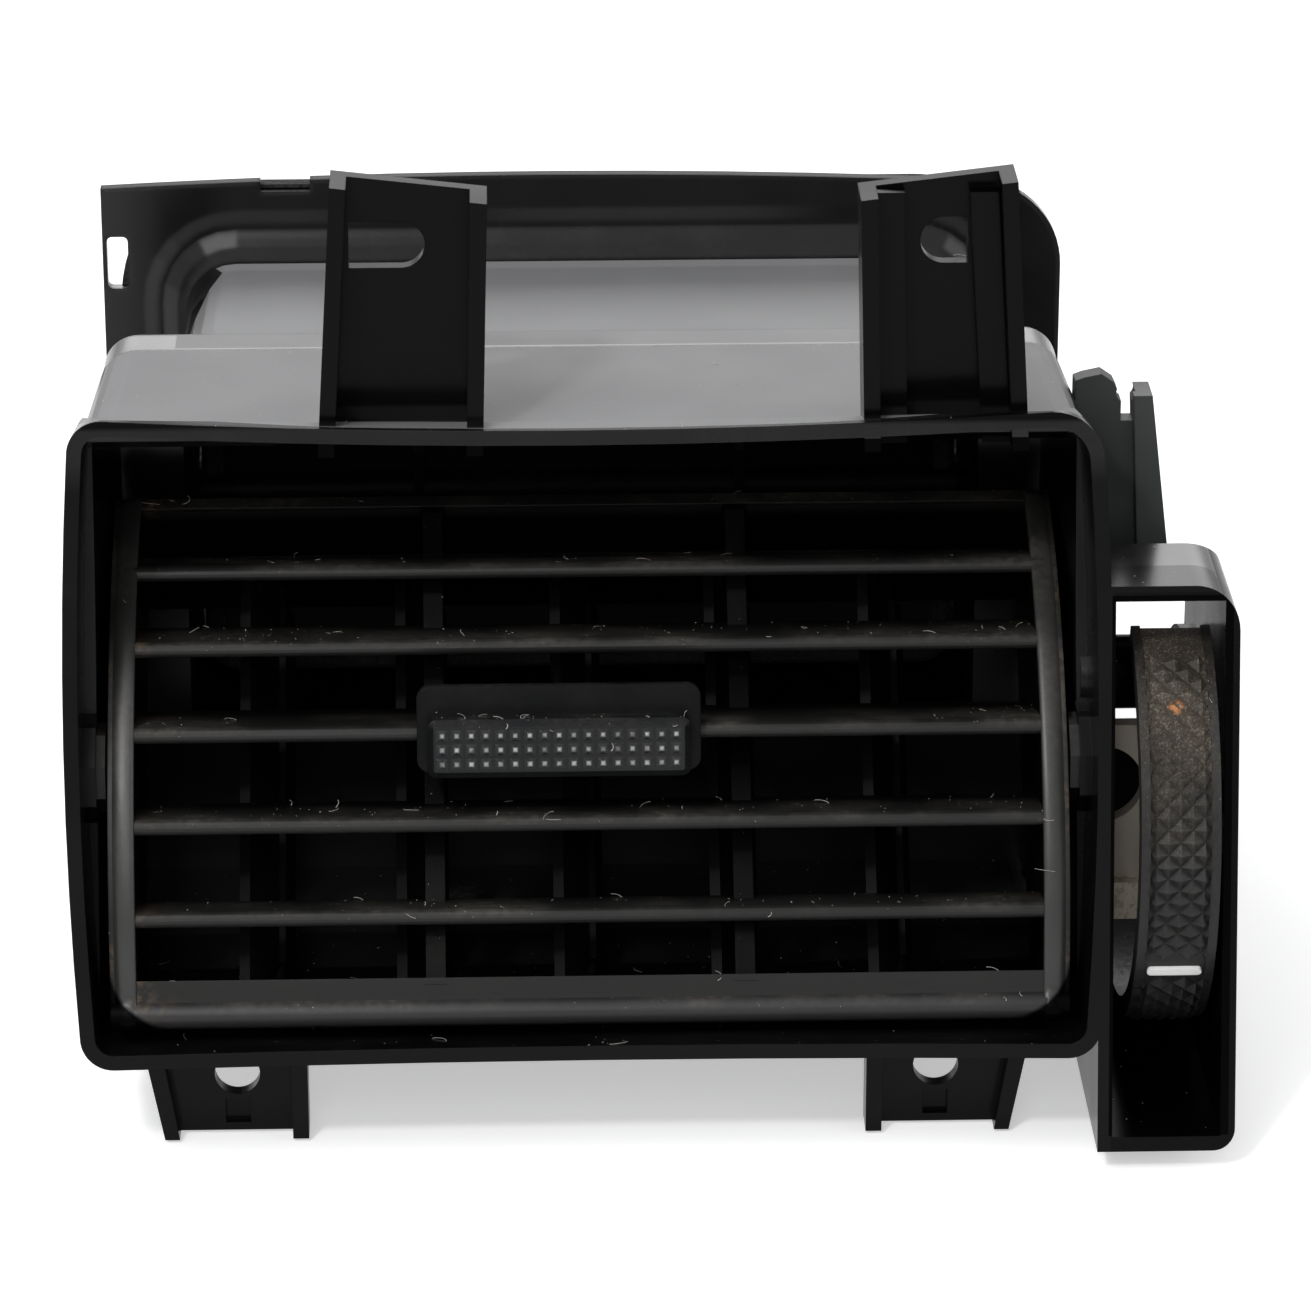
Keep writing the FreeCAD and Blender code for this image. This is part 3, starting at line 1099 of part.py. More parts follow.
def flap_crank():
    """The lever pressed on the shaft's end, with the pin that the rod pulls."""
    x0 = CRANK_LEFT
    x1 = CRANK_LEFT + CRANK_THICKNESS
    outline = []
    for degrees in (90, 130, 180, 230, 270):
        a = math.radians(degrees)
        outline.append((CRANK_BOSS_RADIUS * math.cos(a), CRANK_BOSS_RADIUS * math.sin(a)))
    for degrees in (-70, -25, 25, 70):
        a = math.radians(degrees)
        outline.append((CRANK_RADIUS + CRANK_TIP_RADIUS * math.cos(a), CRANK_TIP_RADIUS * math.sin(a)))
    lever = slab_x(outline, x0, x1)
    pin = bar_x(x0, ROD_LEFT + ROD_THICKNESS + 0.4, CRANK_RADIUS, 0, CRANK_PIN_RADIUS)
    whole = turned_x(fused([lever, pin]), CRANK_ANGLE)
    bore = bar_x(x0 - 1, x1 + 1, 0, 0, FLAP_SHAFT_RADIUS + FIT_GAP)
    key = turned_x(block(x0 - 2, x1 + 2, -5, 5, FLAP_SHAFT_RADIUS * 0.6 + FIT_GAP, 5), FLAP_REST)
    return moved(whole.cut(bore.cut(key)), 0, FLAP_Y, FLAP_Z)


def bush(x_flange, x_end, y, z, bore, outer, flange_radius, flange):
    """A flanged bush along X, eight-sided outside; its flange is at x_flange, its end at x_end."""
    sign = 1 if x_end > x_flange else -1
    low, high = sorted((x_flange, x_end))
    sleeve = prism_x(low, high, y, z, outer)
    low, high = sorted((x_flange, x_flange + sign * flange))
    ring = prism_x(low, high, y, z, flange_radius)
    low, high = sorted((x_flange - sign, x_end + sign))
    return fused([sleeve, ring]).cut(bar_x(low, high, y, z, bore))


def drum_bush(side):
    inner = DRUM_HALF_WIDTH + DRUM_SIDE_GAP
    return bush(side * inner, side * (BODY_FRONT_HALF_WIDTH + 0.4), PIVOT_Y, PIVOT_Z,
                TRUNNION_RADIUS + PIN_CLEARANCE, BUSH_OUTER_RADIUS, BUSH_FLANGE_RADIUS, BUSH_FLANGE)


def flap_bush(side):
    inner = DUCT_HALF_WIDTH + 1.4
    return bush(side * inner, side * (DUCT_HALF_WIDTH - BODY_WALL), FLAP_Y, FLAP_Z,
                FLAP_SHAFT_RADIUS + PIN_CLEARANCE, FLAP_BUSH_RADIUS, FLAP_BUSH_RADIUS + 1.4, 1.4)


def build():
    parts = {
        "front_housing": front_housing(),
        "side_arm": side_arm(),
        "rear_duct": rear_duct(),
        "inlet_gasket": inlet_gasket(),
        "louvre_drum": louvre_drum(),
        "vane_link": vane_link(),
        "slider_clip": slider_clip(),
        "slider_grip": slider_grip(),
        "thumbwheel": thumbwheel(),
        "wheel_mark": wheel_mark(),
        "wheel_axle": wheel_axle(),
        "wheel_carrier": wheel_carrier(),
        "link_rod": link_rod(),
        "flap": flap(),
        "flap_seal_front": flap_seal(-1),
        "flap_seal_rear": flap_seal(1),
        "flap_crank": flap_crank(),
    }
    for index in range(VANE_COUNT):
        parts[f"vane_{index + 1}"] = vane(index)
    for name, side in (("left", -1), ("right", 1)):
        parts[f"drum_bush_{name}"] = drum_bush(side)
        parts[f"flap_bush_{name}"] = flap_bush(side)
    return parts


def main():
    os.makedirs("parts", exist_ok=True)
    for name, shape in build().items():
        placed = moved(shape, -LOWER_CENTRE_X, -LOWER_WEB_FRONT_Y, -LOWER_HOLE_Z)
        placed.exportStep(f"parts/{name}.step")
        box = placed.BoundBox
        print(f"{name:18s} solids {len(placed.Solids)} valid {placed.isValid()} "
              f"volume {placed.Volume:9.1f} x {box.XMin:7.2f} {box.XMax:7.2f} "
              f"y {box.YMin:7.2f} {box.YMax:7.2f} z {box.ZMin:7.2f} {box.ZMax:7.2f}")


main()
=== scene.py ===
import bpy
import math
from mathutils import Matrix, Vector


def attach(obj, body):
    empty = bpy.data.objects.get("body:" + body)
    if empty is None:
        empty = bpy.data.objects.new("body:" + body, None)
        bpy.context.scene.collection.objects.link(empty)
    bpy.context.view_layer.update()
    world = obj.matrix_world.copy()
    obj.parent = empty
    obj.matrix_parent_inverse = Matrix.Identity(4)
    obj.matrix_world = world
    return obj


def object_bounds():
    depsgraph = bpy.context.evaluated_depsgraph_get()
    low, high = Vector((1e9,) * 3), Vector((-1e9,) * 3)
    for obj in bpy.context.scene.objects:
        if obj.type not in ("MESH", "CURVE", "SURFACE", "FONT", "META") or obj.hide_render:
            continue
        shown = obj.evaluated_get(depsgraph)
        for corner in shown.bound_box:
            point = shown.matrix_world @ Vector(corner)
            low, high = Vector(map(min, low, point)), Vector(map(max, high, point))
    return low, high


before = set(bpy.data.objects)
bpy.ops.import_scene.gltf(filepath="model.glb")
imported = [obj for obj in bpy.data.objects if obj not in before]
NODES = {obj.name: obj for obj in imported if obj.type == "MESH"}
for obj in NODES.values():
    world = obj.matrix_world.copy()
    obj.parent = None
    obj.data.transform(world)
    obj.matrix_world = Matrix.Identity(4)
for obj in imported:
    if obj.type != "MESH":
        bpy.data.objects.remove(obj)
cad_low, cad_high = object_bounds()

# Lengths are in metres, in the part's own frame, unless a comment says millimetres
MM = 0.001

# Camera, fitted to the square photograph
PHOTO_SIDE = 1311
FOCAL_PIXELS = 5800
SENSOR_MM = 36.0
CLIP_START = 0.05
CAMERA_PLACE = Vector((-11.9, -718.0, 351.4)) * MM
CAMERA_LOOK = Vector((0.02751, 0.92677, -0.37461))

# Thumbwheel, with its diamond knurl, its mark, its dust and its orange spot
WHEEL_CENTRE = Vector((79.45, 18.8, 31.6)) * MM
WHEEL_RADIUS = 30.5 * MM
TREAD_HALF_WIDTH = 4.1 * MM
TREAD_DEPTH = 0.45 * MM
KNURL_PITCH = 3.4 * MM
KNURL_COLUMNS = 7
KNURL_STEP_SHARE = 0.4      # from column to column, as a share of the tread's half width
KNURL_HEIGHT = 0.95 * MM
KNURL_SINK = 0.02 * MM
KNURL_TOP_ANGLE = 61.0      # degrees above level, at the wheel's front
KNURL_BOTTOM_ANGLE = -128.0
EVEN_SHIFT = 10.0           # even, and large enough to keep row plus column above zero
MARK_ANGLE = -27.6
MARK_ROOM = 2.4 * MM
DUST_LOW = 34.0 * MM
DUST_HIGH = 56.0 * MM
ORANGE_SPOT = Vector((79.2, -2.1, 53.8)) * MM
ORANGE_SIZE = 1.3 * MM

# The drum's own frame, on its pivot and tipped back
MIDDLE_X = 0.5 * MM
PIVOT = Vector((0.5, 9.0, 42.1)) * MM
DRUM_TIP = math.radians(39.3)
FACE_CENTRE = (55.56 * MM, 9.16 * MM)   # of the curved face, back and up in the part's frame

# The drum's curved face in its own frame, in millimetres and degrees
FACE_MIDDLE = (56.9, 4.0)
FACE_RADIUS = 62.0
FACE_TOP_ANGLE = 36.0
FACE_SWEEP = 71.0
FACE_STEPS = 48
LOWER_LIP = ((5.98, -32.4), (5.96, -33.2), (6.31, -34.38), (7.0, -34.95), (7.8, -35.0), (8.5, -34.6))

# Section of the drum's side cheeks in millimetres: distance from the middle, then out from the face
SIDE_INNER = 61.45
SIDE_OUTER = 65.15
CHEEK_SECTION = (
    (SIDE_INNER, -0.5), (SIDE_INNER, 0.1), (61.65, 0.3), (62.1, 0.38), (62.9, 0.38), (63.7, 0.28),
    (64.4, 0.0), (64.85, -0.5), (65.1, -1.3), (SIDE_OUTER, -2.2), (SIDE_OUTER, -3.2), (64.6, -3.2),
    (64.3, -1.4), (63.0, -0.6),
)

# Shade on the drum, by the depth behind its face, on its ribs and past its rounded lower corners
SHADE_FROM = 1.0 * MM
SHADE_TO = 3.2 * MM
LEVEL_FROM = 2.0 * MM
LEVEL_TO = 10.0 * MM
DEEPEST_SHADE = 0.96
LEVEL_FACE = 0.55
RIB_X = 21.0 * MM
RIB_ROOM = 1.7 * MM
RIB_FRONT = 4.9 * MM
RIB_FOOT = -29.8 * MM
RIB_LEVEL = 0.7
RIB_SHADE = 0.85
CORNER_X = 56.6 * MM
CORNER_Z = -26.4 * MM
CORNER_RADIUS = 8.6 * MM
# Painted light on the drum's lower bar, which is painted lighter than the slats between these heights
LOWER_BAR_BELOW = -33.0 * MM
LOWER_BAR_ABOVE = -31.0 * MM
DIRT_FROM = 54.0 * MM
DIRT_TO = 61.5 * MM

# The part of the drum's middle slat that the slider runs over
MIDDLE_SLAT = 4.0 * MM
SLIDER_ROOM = 6.0 * MM
SLIDER_REACH = 46.0 * MM

# Boxes in millimetres that the light hardly reaches, painted in shade, and the tops that carry a painted
# sheen
HOUSING_DARK = [
    ((-40.0, 7.4, 86.9), (65.0, 15.0, 88.95)),
    ((-66.0, 3.0, 8.0), (67.0, 46.9, 87.05)),
    ((70.4, -15.4, -7.2), (86.7, 45.0, 69.0)),
]
POCKET_DIM = [((70.7, -22.0, -14.0), (95.0, 6.0, 69.4))]
POCKET_SHADE = 0.75
DUCT_DARK = [((-55.5, 46.0, 28.5), (56.5, 84.0, 84.0))]
BODY_TOP_SHEEN = [((-66.0, 7.0, 86.0), (67.0, 62.0, 91.5))]
DUCT_TOP_SHEEN = [((-56.0, 47.0, 84.2), (57.0, 97.0, 90.0))]

# Shade down the rim and up the brackets
BRACKET_TOPS = 93.0 * MM
EDGE_LEVEL = 0.45
RIM_FRONT = 8.0 * MM
RIM_FOOT = 7.0 * MM
RIM_FADE = (84.0 * MM, 88.0 * MM)
RIM_SHADE = 0.6
BRACKET_FADE = (91.8 * MM, 92.4 * MM)
BRACKET_SHADE = 0.8

# Lip round the shut flap, in millimetres and degrees
FLAP_PIVOT = Vector((0.5, 77.5, 56.8))
FLAP_REST = 85.0
LIP_HALF_WIDTH = 54.97
LIP_LOW = -27.34
LIP_HIGH = 26.8
LIP_CORNER = 4.9
LIP_CORNER_STEPS = 6
LIP_STRAIGHT = 22.0         # the lip's inner edge moves in along the flap only beyond this
LIP_SECTION = ((0.0, -0.5), (0.0, 0.5), (1.6, 1.2), (1.6, -1.2))

# Dished back of the carrier's window, a black dish that paints the shade in it, in millimetres: radius, then
# depth
WINDOW_CENTRE = Vector((70.95, 12.52, 37.4))
DISH_PROFILE = ((6.1, 0.0), (5.9, 0.35), (5.0, 0.7), (3.0, 1.0), (0.05, 1.1), (0.05, 0.75),
                (3.0, 0.65), (5.0, 0.35), (5.6, 0.0))
DISH_STEPS = 16
BLOCK_TOP = 23.6 * MM

# Painted glints on the tips of the grip's studs, by the depth behind the foremost one
GLINT_FROM = 0.08 * MM
GLINT_TO = 0.26 * MM

# Dust flakes and curled lint; the lint's sweep is in radians, its thickness a share of its radius
LOOKS_UP = 0.25
FLAKE_HEIGHT = 0.6
FLAKE_SMALL = (0.04 * MM, 0.04 * MM, 0.04 * MM)
FLAKE_LARGE = (0.20 * MM, 0.13 * MM, 0.06 * MM)
FLAKE_TURN = 0.4
LINT_SWEEP = 2.6
LINT_THICKNESS = 0.045
LINT_SMALL = (0.4 * MM, 0.3 * MM, 0.5 * MM)
LINT_LARGE = (1.6 * MM, 1.2 * MM, 1.0 * MM)
LINT_TURN = 0.35
LINT_SEED_SHIFT = 5.0
FIRST_SEED = 7

# What carries dirt: its node, its body, and the flakes and lint on a square metre
DIRTY = (
    ("louvre_drum", "drum", 60000.0, 9000.0),
    ("front_housing", "housing", 22000.0, 2200.0),
    ("slider_grip", "slider", 120000.0, 60000.0),
    ("thumbwheel", "wheel", 90000.0, 9000.0),
)

# Colours that several finishes share
BROWN_DIRT = (0.10, 0.065, 0.04)
DUST_BEIGE = (0.30, 0.27, 0.23)
# Painted sheen: a pale grey that stands in for light reflected off the tops
SHEEN_GREY = (0.262, 0.263, 0.270)
# Painted shade: the black mixed in where the light hardly reaches
SHADE_BLACK = (0.0008, 0.0008, 0.0008)
PALE_FLOOR = (0.86, 0.86, 0.865)
PALE_SKY = (0.9, 0.9, 0.905)

# Moulded plastic: how many noise cells lie in a metre, how the finish varies with them, the share of the
# painted sheen and the specular level in painted shade
PATCH_SCALE = 60.0
FINE_SCALE = 900.0
GRAIN_SCALE = 2600.0
MOTTLE_GAIN = 1.35
MOTTLE_LIFT = 0.004
MOTTLE_SHARE = 0.35
SHEEN_SHARE = (0.60, 0.68)
SHADED_SPECULAR = 0.02
DUST_ROUGHNESS = 0.5

# Floor, sky and lamps: each lamp's name, place, target, sides and watts
FLOOR_REACH = 3.0
FLOOR_GAP = 0.5 * MM
FLOOR_GLOW = 0.55
SKY_LIGHT = 0.36
LAMPS = (
    ("key", (-0.5, -0.5, 1.1), (0.0, 0.0, 0.05), (0.7, 0.7), 7.0),
    ("fill", (0.9, -0.4, 0.5), (0.0, 0.0, 0.05), (0.5, 0.5), 2.0),
    ("spark", (-0.35, -0.7, 0.8), (0.0, 0.0, 0.05), (0.09, 0.09), 4.0),
    ("front", (-0.15, -0.9, 0.55), (0.0, 0.0, 0.05), (0.35, 0.35), 1.6),
    ("rear", (0.0, 1.4, 0.66), (0.0, 0.0, 0.06), (1.7, 0.55), 9.0),
)


class Tree:
    """A node tree with short calls for adding and joining nodes."""

    def __init__(self, tree):
        self.tree = tree

    def add(self, kind, settings=None, **inputs):
        node = self.tree.nodes.new(kind)
        for key, value in (settings or {}).items():
            setattr(node, key, value)
        for key, value in inputs.items():
            self.feed(node, key.replace("_", " "), value)
        return node

    def feed(self, node, name, value):
        target = node.inputs[name] if isinstance(name, int) else self.find(node, name)
        if isinstance(value, bpy.types.NodeSocket):
            self.tree.links.new(value, target)
        else:
            target.default_value = value

    def find(self, node, name):
        for socket in node.inputs:
            if socket.name == name and socket.enabled:
                return socket
        raise KeyError(name)

    def math(self, operation, first, second=0.0):
        node = self.tree.nodes.new("ShaderNodeMath")
        node.operation = operation
        self.feed(node, 0, first)
        self.feed(node, 1, second)
        return node.outputs[0]

    def split(self, vector):
        """The x, y and z of a vector."""
        node = self.tree.nodes.new("ShaderNodeSeparateXYZ")
        self.feed(node, 0, vector)
        return node.outputs


def new_material(name):
    material = bpy.data.materials.new(name)
    material.use_nodes = True
    material.node_tree.nodes.clear()
    tree = Tree(material.node_tree)
    output = tree.add("ShaderNodeOutputMaterial")
    shader = tree.add("ShaderNodeBsdfPrincipled")
    material.node_tree.links.new(shader.outputs[0], output.inputs[0])
    coords = tree.add("ShaderNodeTexCoord").outputs["Object"]
    return material, tree, shader, coords


def noise(tree, coords, scale, detail=3.0, roughness=0.55):
    node = tree.add("ShaderNodeTexNoise", Vector=coords, Scale=scale, Detail=detail, Roughness=roughness)
    return node.outputs["Fac"]


def ramp(tree, value, low, high, first=0.0, last=1.0):
    """A value that goes from first to last as another goes from low to high."""
    node = tree.add("ShaderNodeMapRange", {"clamp": True}, Value=value)
    tree.feed(node, "From Min", low)
    tree.feed(node, "From Max", high)
    tree.feed(node, "To Min", first)
    tree.feed(node, "To Max", last)
    return node.outputs[0]


def mix_colour(tree, share, first, second):
    node = tree.add("ShaderNodeMix", {"data_type": "RGBA"})
    tree.feed(node, 0, share)
    tree.feed(node, 6, first)
    tree.feed(node, 7, second)
    return node.outputs[2]


def colour(red, green, blue):
    return (red, green, blue, 1.0)


def settled_dust(tree, upward, patches, fine, dust):
    """Share of dust on faces that look up, in patches and fine specks."""
    settled = tree.math("MULTIPLY", ramp(tree, upward, 0.1, 0.95), ramp(tree, patches, 0.42, 0.68))
    speckled = tree.math("MULTIPLY", settled, ramp(tree, fine, 0.4, 0.62, 0.35, 1.0))
    return tree.math("MULTIPLY", speckled, dust)


def painted_sheen(tree, upward, patches, region):
    """Share of the painted sheen: a pale grey on faces that look up inside a region, standing in for light
    reflected off the tops.
    """
    level = tree.math("MULTIPLY", ramp(tree, upward, 0.5, 0.95), region)
    return tree.math("MULTIPLY", level, ramp(tree, patches, 0.2, 0.8, *SHEEN_SHARE))


def plastic(name, base, rough, dust=0.15, dust_colour=DUST_BEIGE, grain=0.02, specular=0.5,
            edge=0.25 * MM, dark=None, dirt=None, sheen=None, tint_and_light=None):
    """Moulded plastic: fine grain, uneven gloss, softened edges and dust that settles on upward faces; where
    asked, also painted shade, a painted sheen on the tops, and a tint that is the part's own tone or painted
    light.
    """
    material, tree, shader, coords = new_material(name)
    shader.inputs["Specular IOR Level"].default_value = specular
    patches = noise(tree, coords, PATCH_SCALE, 4.0)
    fine = noise(tree, coords, FINE_SCALE, 2.0)
    upward = tree.split(tree.add("ShaderNodeNewGeometry").outputs["Normal"])[2]
    share = settled_dust(tree, upward, patches, fine, dust)
    # Painted sheen on the tops, standing in for reflected light; the dust there takes the sheen's grey as
    # well
    if sheen is not None:
        share = tree.math("MAXIMUM", share, painted_sheen(tree, upward, patches, sheen(tree, coords)))
        dust_colour = SHEEN_GREY
    lighter = [min(1.0, part * MOTTLE_GAIN + MOTTLE_LIFT) for part in base]
    surface = mix_colour(tree, ramp(tree, patches, 0.3, 0.7, 0.0, MOTTLE_SHARE), colour(*base),
                         colour(*lighter))
    # A tint: the part's own tone on some parts, painted light or painted glints on others
    if tint_and_light is not None:
        region, tint_and_light_colour = tint_and_light
        surface = mix_colour(tree, region(tree, coords), surface, colour(*tint_and_light_colour))
    surface = mix_colour(tree, share, surface, colour(*dust_colour))
    if dirt is not None:
        caked = tree.math("MULTIPLY", dirt(tree, coords), ramp(tree, fine, 0.42, 0.6))
        surface = mix_colour(tree, caked, surface, colour(*BROWN_DIRT))
    # Painted shade: black mixed in where the light hardly reaches, with the specular level lowered there too
    if dark is not None:
        shadow = dark(tree, coords, upward)
        surface = mix_colour(tree, shadow, surface, colour(*SHADE_BLACK))
        tree.feed(shader, "Specular IOR Level", ramp(tree, shadow, 0.0, 1.0, specular, SHADED_SPECULAR))
    tree.feed(shader, "Base Color", surface)
    gloss = ramp(tree, patches, 0.3, 0.7, rough * 0.85, rough * 1.15)
    tree.feed(shader, "Roughness", tree.math("ADD", gloss, tree.math("MULTIPLY", share, DUST_ROUGHNESS)))
    bump = tree.add("ShaderNodeBump", Strength=1.0, Distance=grain * MM,
                    Height=noise(tree, coords, GRAIN_SCALE, 2.0))
    if edge is not None:
        tree.feed(bump, "Normal", tree.add("ShaderNodeBevel", {"samples": 2}, Radius=edge).outputs[0])
    tree.feed(shader, "Normal", bump.outputs[0])
    return material


def inside_boxes(boxes):
    """A test for points inside any of some boxes given in millimetres as (low, high) corners."""
    def test(tree, coords):
        place = tree.split(coords)
        found = None
        for low, high in boxes:
            inside = None
            for axis in range(3):
                for operation, limit in (("GREATER_THAN", low[axis]), ("LESS_THAN", high[axis])):
                    within = tree.math(operation, place[axis], limit * MM)
                    inside = within if inside is None else tree.math("MULTIPLY", inside, within)
            found = inside if found is None else tree.math("MAXIMUM", found, inside)
        return found
    return test


def upper_edges(tree, z, upward):
    """The edges on top of the brackets and the flange."""
    return tree.math("MULTIPLY", tree.math("GREATER_THAN", z, BRACKET_TOPS),
                     tree.math("GREATER_THAN", upward, EDGE_LEVEL))


def housing_shade(tree, coords, upward):
    """Full shade inside the housing and on the bracket ends, part shade on rim, brackets and pocket."""
    _, y, z = tree.split(coords)
    full = tree.math("MAXIMUM", inside_boxes(HOUSING_DARK)(tree, coords), upper_edges(tree, z, upward))
    front = tree.math("MAXIMUM", tree.math("LESS_THAN", y, RIM_FRONT), tree.math("LESS_THAN", z, RIM_FOOT))
    rim = tree.math("MULTIPLY", front, ramp(tree, z, *RIM_FADE, RIM_SHADE, 0.0))
    part = tree.math("MAXIMUM", rim, ramp(tree, z, *BRACKET_FADE, 0.0, BRACKET_SHADE))
    pocket = tree.math("MULTIPLY", inside_boxes(POCKET_DIM)(tree, coords), POCKET_SHADE)
    return tree.math("MAXIMUM", full, tree.math("MAXIMUM", part, pocket))


def duct_shade(tree, coords, upward):
    """Full shade inside the duct and on the flange's upper edge."""
    edge = upper_edges(tree, tree.split(coords)[2], upward)
    return tree.math("MAXIMUM", edge, inside_boxes(DUCT_DARK)(tree, coords))


def from_drum(x, y, z):
    """A point of the drum's own frame, in millimetres, at its place in the part."""
    c, s = math.cos(DRUM_TIP), math.sin(DRUM_TIP)
    return PIVOT + Vector((x, y * c + z * s, z * c - y * s)) * MM


def drum_height(tree, y, z):
    """Height of a point along the drum's own upright, which leans back."""
    back = tree.math("MULTIPLY", tree.math("SUBTRACT", y, PIVOT.y), math.sin(DRUM_TIP))
    up = tree.math("MULTIPLY", tree.math("SUBTRACT", z, PIVOT.z), math.cos(DRUM_TIP))
    return tree.math("ADD", back, up)


def drum_depth(tree, y, z):
    """Depth of a point along the drum's own axis that runs back from its front."""
    back = tree.math("MULTIPLY", tree.math("SUBTRACT", y, PIVOT.y), math.cos(DRUM_TIP))
    up = tree.math("MULTIPLY", tree.math("SUBTRACT", z, PIVOT.z), math.sin(DRUM_TIP))
    return tree.math("SUBTRACT", back, up)


def from_middle(tree, x):
    """Distance of a point from the drum's middle, to either side."""
    return tree.math("ABSOLUTE", tree.math("SUBTRACT", x, MIDDLE_X))


def beyond_corner(tree, coords, upward=None):
    """Points outside the rounded lower corners of the drum's front, whichever way they face."""
    x, y, z = tree.split(coords)
    over_x = tree.math("MAXIMUM", tree.math("SUBTRACT", from_middle(tree, x), CORNER_X), 0.0)
    below = tree.math("MAXIMUM", tree.math("SUBTRACT", CORNER_Z, drum_height(tree, y, z)), 0.0)
    square = tree.math("ADD", tree.math("MULTIPLY", over_x, over_x), tree.math("MULTIPLY", below, below))
    return ramp(tree, tree.math("SQRT", square), CORNER_RADIUS - 0.3 * MM, CORNER_RADIUS + 0.2 * MM)


def lower_bar_light(tree, coords):
    """Painted light on the drum's lower bar, which catches more light than the slats."""
    _, y, z = tree.split(coords)
    return ramp(tree, drum_height(tree, y, z), LOWER_BAR_BELOW, LOWER_BAR_ABOVE, 0.9, 0.0)


def ribs(tree, coords, upward):
    """The two upright ribs behind the slats, which the light hardly reaches."""
    x, y, z = tree.split(coords)
    from_rib = tree.math("ABSOLUTE", tree.math("SUBTRACT", from_middle(tree, x), RIB_X))
    near = tree.math("LESS_THAN", from_rib, RIB_ROOM)
    behind = tree.math("GREATER_THAN", drum_depth(tree, y, z), RIB_FRONT)
    above = tree.math("MULTIPLY", tree.math("GREATER_THAN", drum_height(tree, y, z), RIB_FOOT),
                      tree.math("LESS_THAN", upward, RIB_LEVEL))
    return tree.math("MULTIPLY", tree.math("MULTIPLY", near, behind), tree.math("MULTIPLY", above, RIB_SHADE))


def behind_face(tree, coords, upward):
    """Shade that grows with the depth behind the drum's curved face, later on faces that look up."""
    _, y, z = tree.split(coords)
    y = tree.math("SUBTRACT", y, FACE_CENTRE[0])
    z = tree.math("SUBTRACT", z, FACE_CENTRE[1])
    square = tree.math("ADD", tree.math("MULTIPLY", y, y), tree.math("MULTIPLY", z, z))
    depth = tree.math("SUBTRACT", FACE_RADIUS * MM, tree.math("SQRT", square))
    steep = tree.math("SUBTRACT", 1.0, tree.math("GREATER_THAN", upward, LEVEL_FACE))
    upright = tree.math("MULTIPLY", ramp(tree, depth, SHADE_FROM, SHADE_TO, 0.0, DEEPEST_SHADE), steep)
    return tree.math("MAXIMUM", upright, ramp(tree, depth, LEVEL_FROM, LEVEL_TO, 0.0, DEEPEST_SHADE))


def drum_shade(tree, coords, upward):
    """Shade behind the drum's face, outside its rounded corners and on its ribs."""
    rest = tree.math("MAXIMUM", behind_face(tree, coords, upward), beyond_corner(tree, coords))
    return tree.math("MAXIMUM", rest, ribs(tree, coords, upward))


def slat_ends(tree, coords):
    """Dirt that gathers where the slats meet the drum's sides."""
    near = ramp(tree, from_middle(tree, tree.split(coords)[0]), DIRT_FROM, DIRT_TO)
    patches = noise(tree, coords, 90.0, 3.0)
    return tree.math("MULTIPLY", near, ramp(tree, patches, 0.5, 0.68, 0.0, 0.7))


def slider_front():
    """The way the slider's front looks: the normal that holds the most of its forward area."""
    areas = {}
    for face in NODES["slider_clip"].data.polygons:
        if face.normal.y < -0.5:
            key = tuple(round(part, 2) for part in face.normal)
            areas[key] = areas.get(key, 0.0) + face.area
    return Vector(max(areas, key=areas.get)).normalized()


def stud_glints(tree, coords):
    """Painted highlights on the tips of the grip's studs, standing in for glints of light."""
    outward = slider_front()
    front = max(corner.co.dot(outward) for corner in NODES["slider_grip"].data.vertices)
    along = tree.add("ShaderNodeVectorMath", {"operation": "DOT_PRODUCT"})
    tree.feed(along, 0, coords)
    tree.feed(along, 1, tuple(outward))
    near = ramp(tree, tree.math("SUBTRACT", front, along.outputs["Value"]), GLINT_FROM, GLINT_TO, 1.0, 0.0)
    return tree.math("MULTIPLY", near, ramp(tree, noise(tree, coords, 500.0), 0.35, 0.6, 0.25, 1.0))


def carrier_block(tree, coords):
    """The small block at the foot of the carrier, paler than its wall."""
    speckle = ramp(tree, noise(tree, coords, 1300.0), 0.42, 0.5)
    return tree.math("MULTIPLY", tree.math("LESS_THAN", tree.split(coords)[2], BLOCK_TOP), speckle)


def foam(name):
    """Open foam: dark cells with paler walls."""
    material, tree, shader, coords = new_material(name)
    cells = tree.add("ShaderNodeTexVoronoi", Vector=coords, Scale=1400.0).outputs["Distance"]
    shade = mix_colour(tree, ramp(tree, cells, 0.0, 0.6), colour(0.002, 0.002, 0.002),
                       colour(0.016, 0.016, 0.015))
    tree.feed(shader, "Base Color", shade)
    shader.inputs["Roughness"].default_value = 0.95
    bump = tree.add("ShaderNodeBump", Strength=1.0, Distance=0.25 * MM, Height=cells)
    tree.feed(shader, "Normal", bump.outputs[0])
    return material


def turned_steel(name):
    """Steel with fine rings round the axle's length."""
    material, tree, shader, coords = new_material(name)
    mapping = tree.add("ShaderNodeMapping", Vector=coords)
    mapping.inputs["Scale"].default_value = (4000.0, 60.0, 60.0)
    lines = noise(tree, mapping.outputs[0], 1.0, 2.0)
    shader.inputs["Metallic"].default_value = 1.0
    bright = mix_colour(tree, lines, colour(0.42, 0.42, 0.43), colour(0.66, 0.66, 0.67))
    tree.feed(shader, "Base Color", bright)
    tree.feed(shader, "Roughness", ramp(tree, lines, 0.3, 0.7, 0.22, 0.38))
    return material


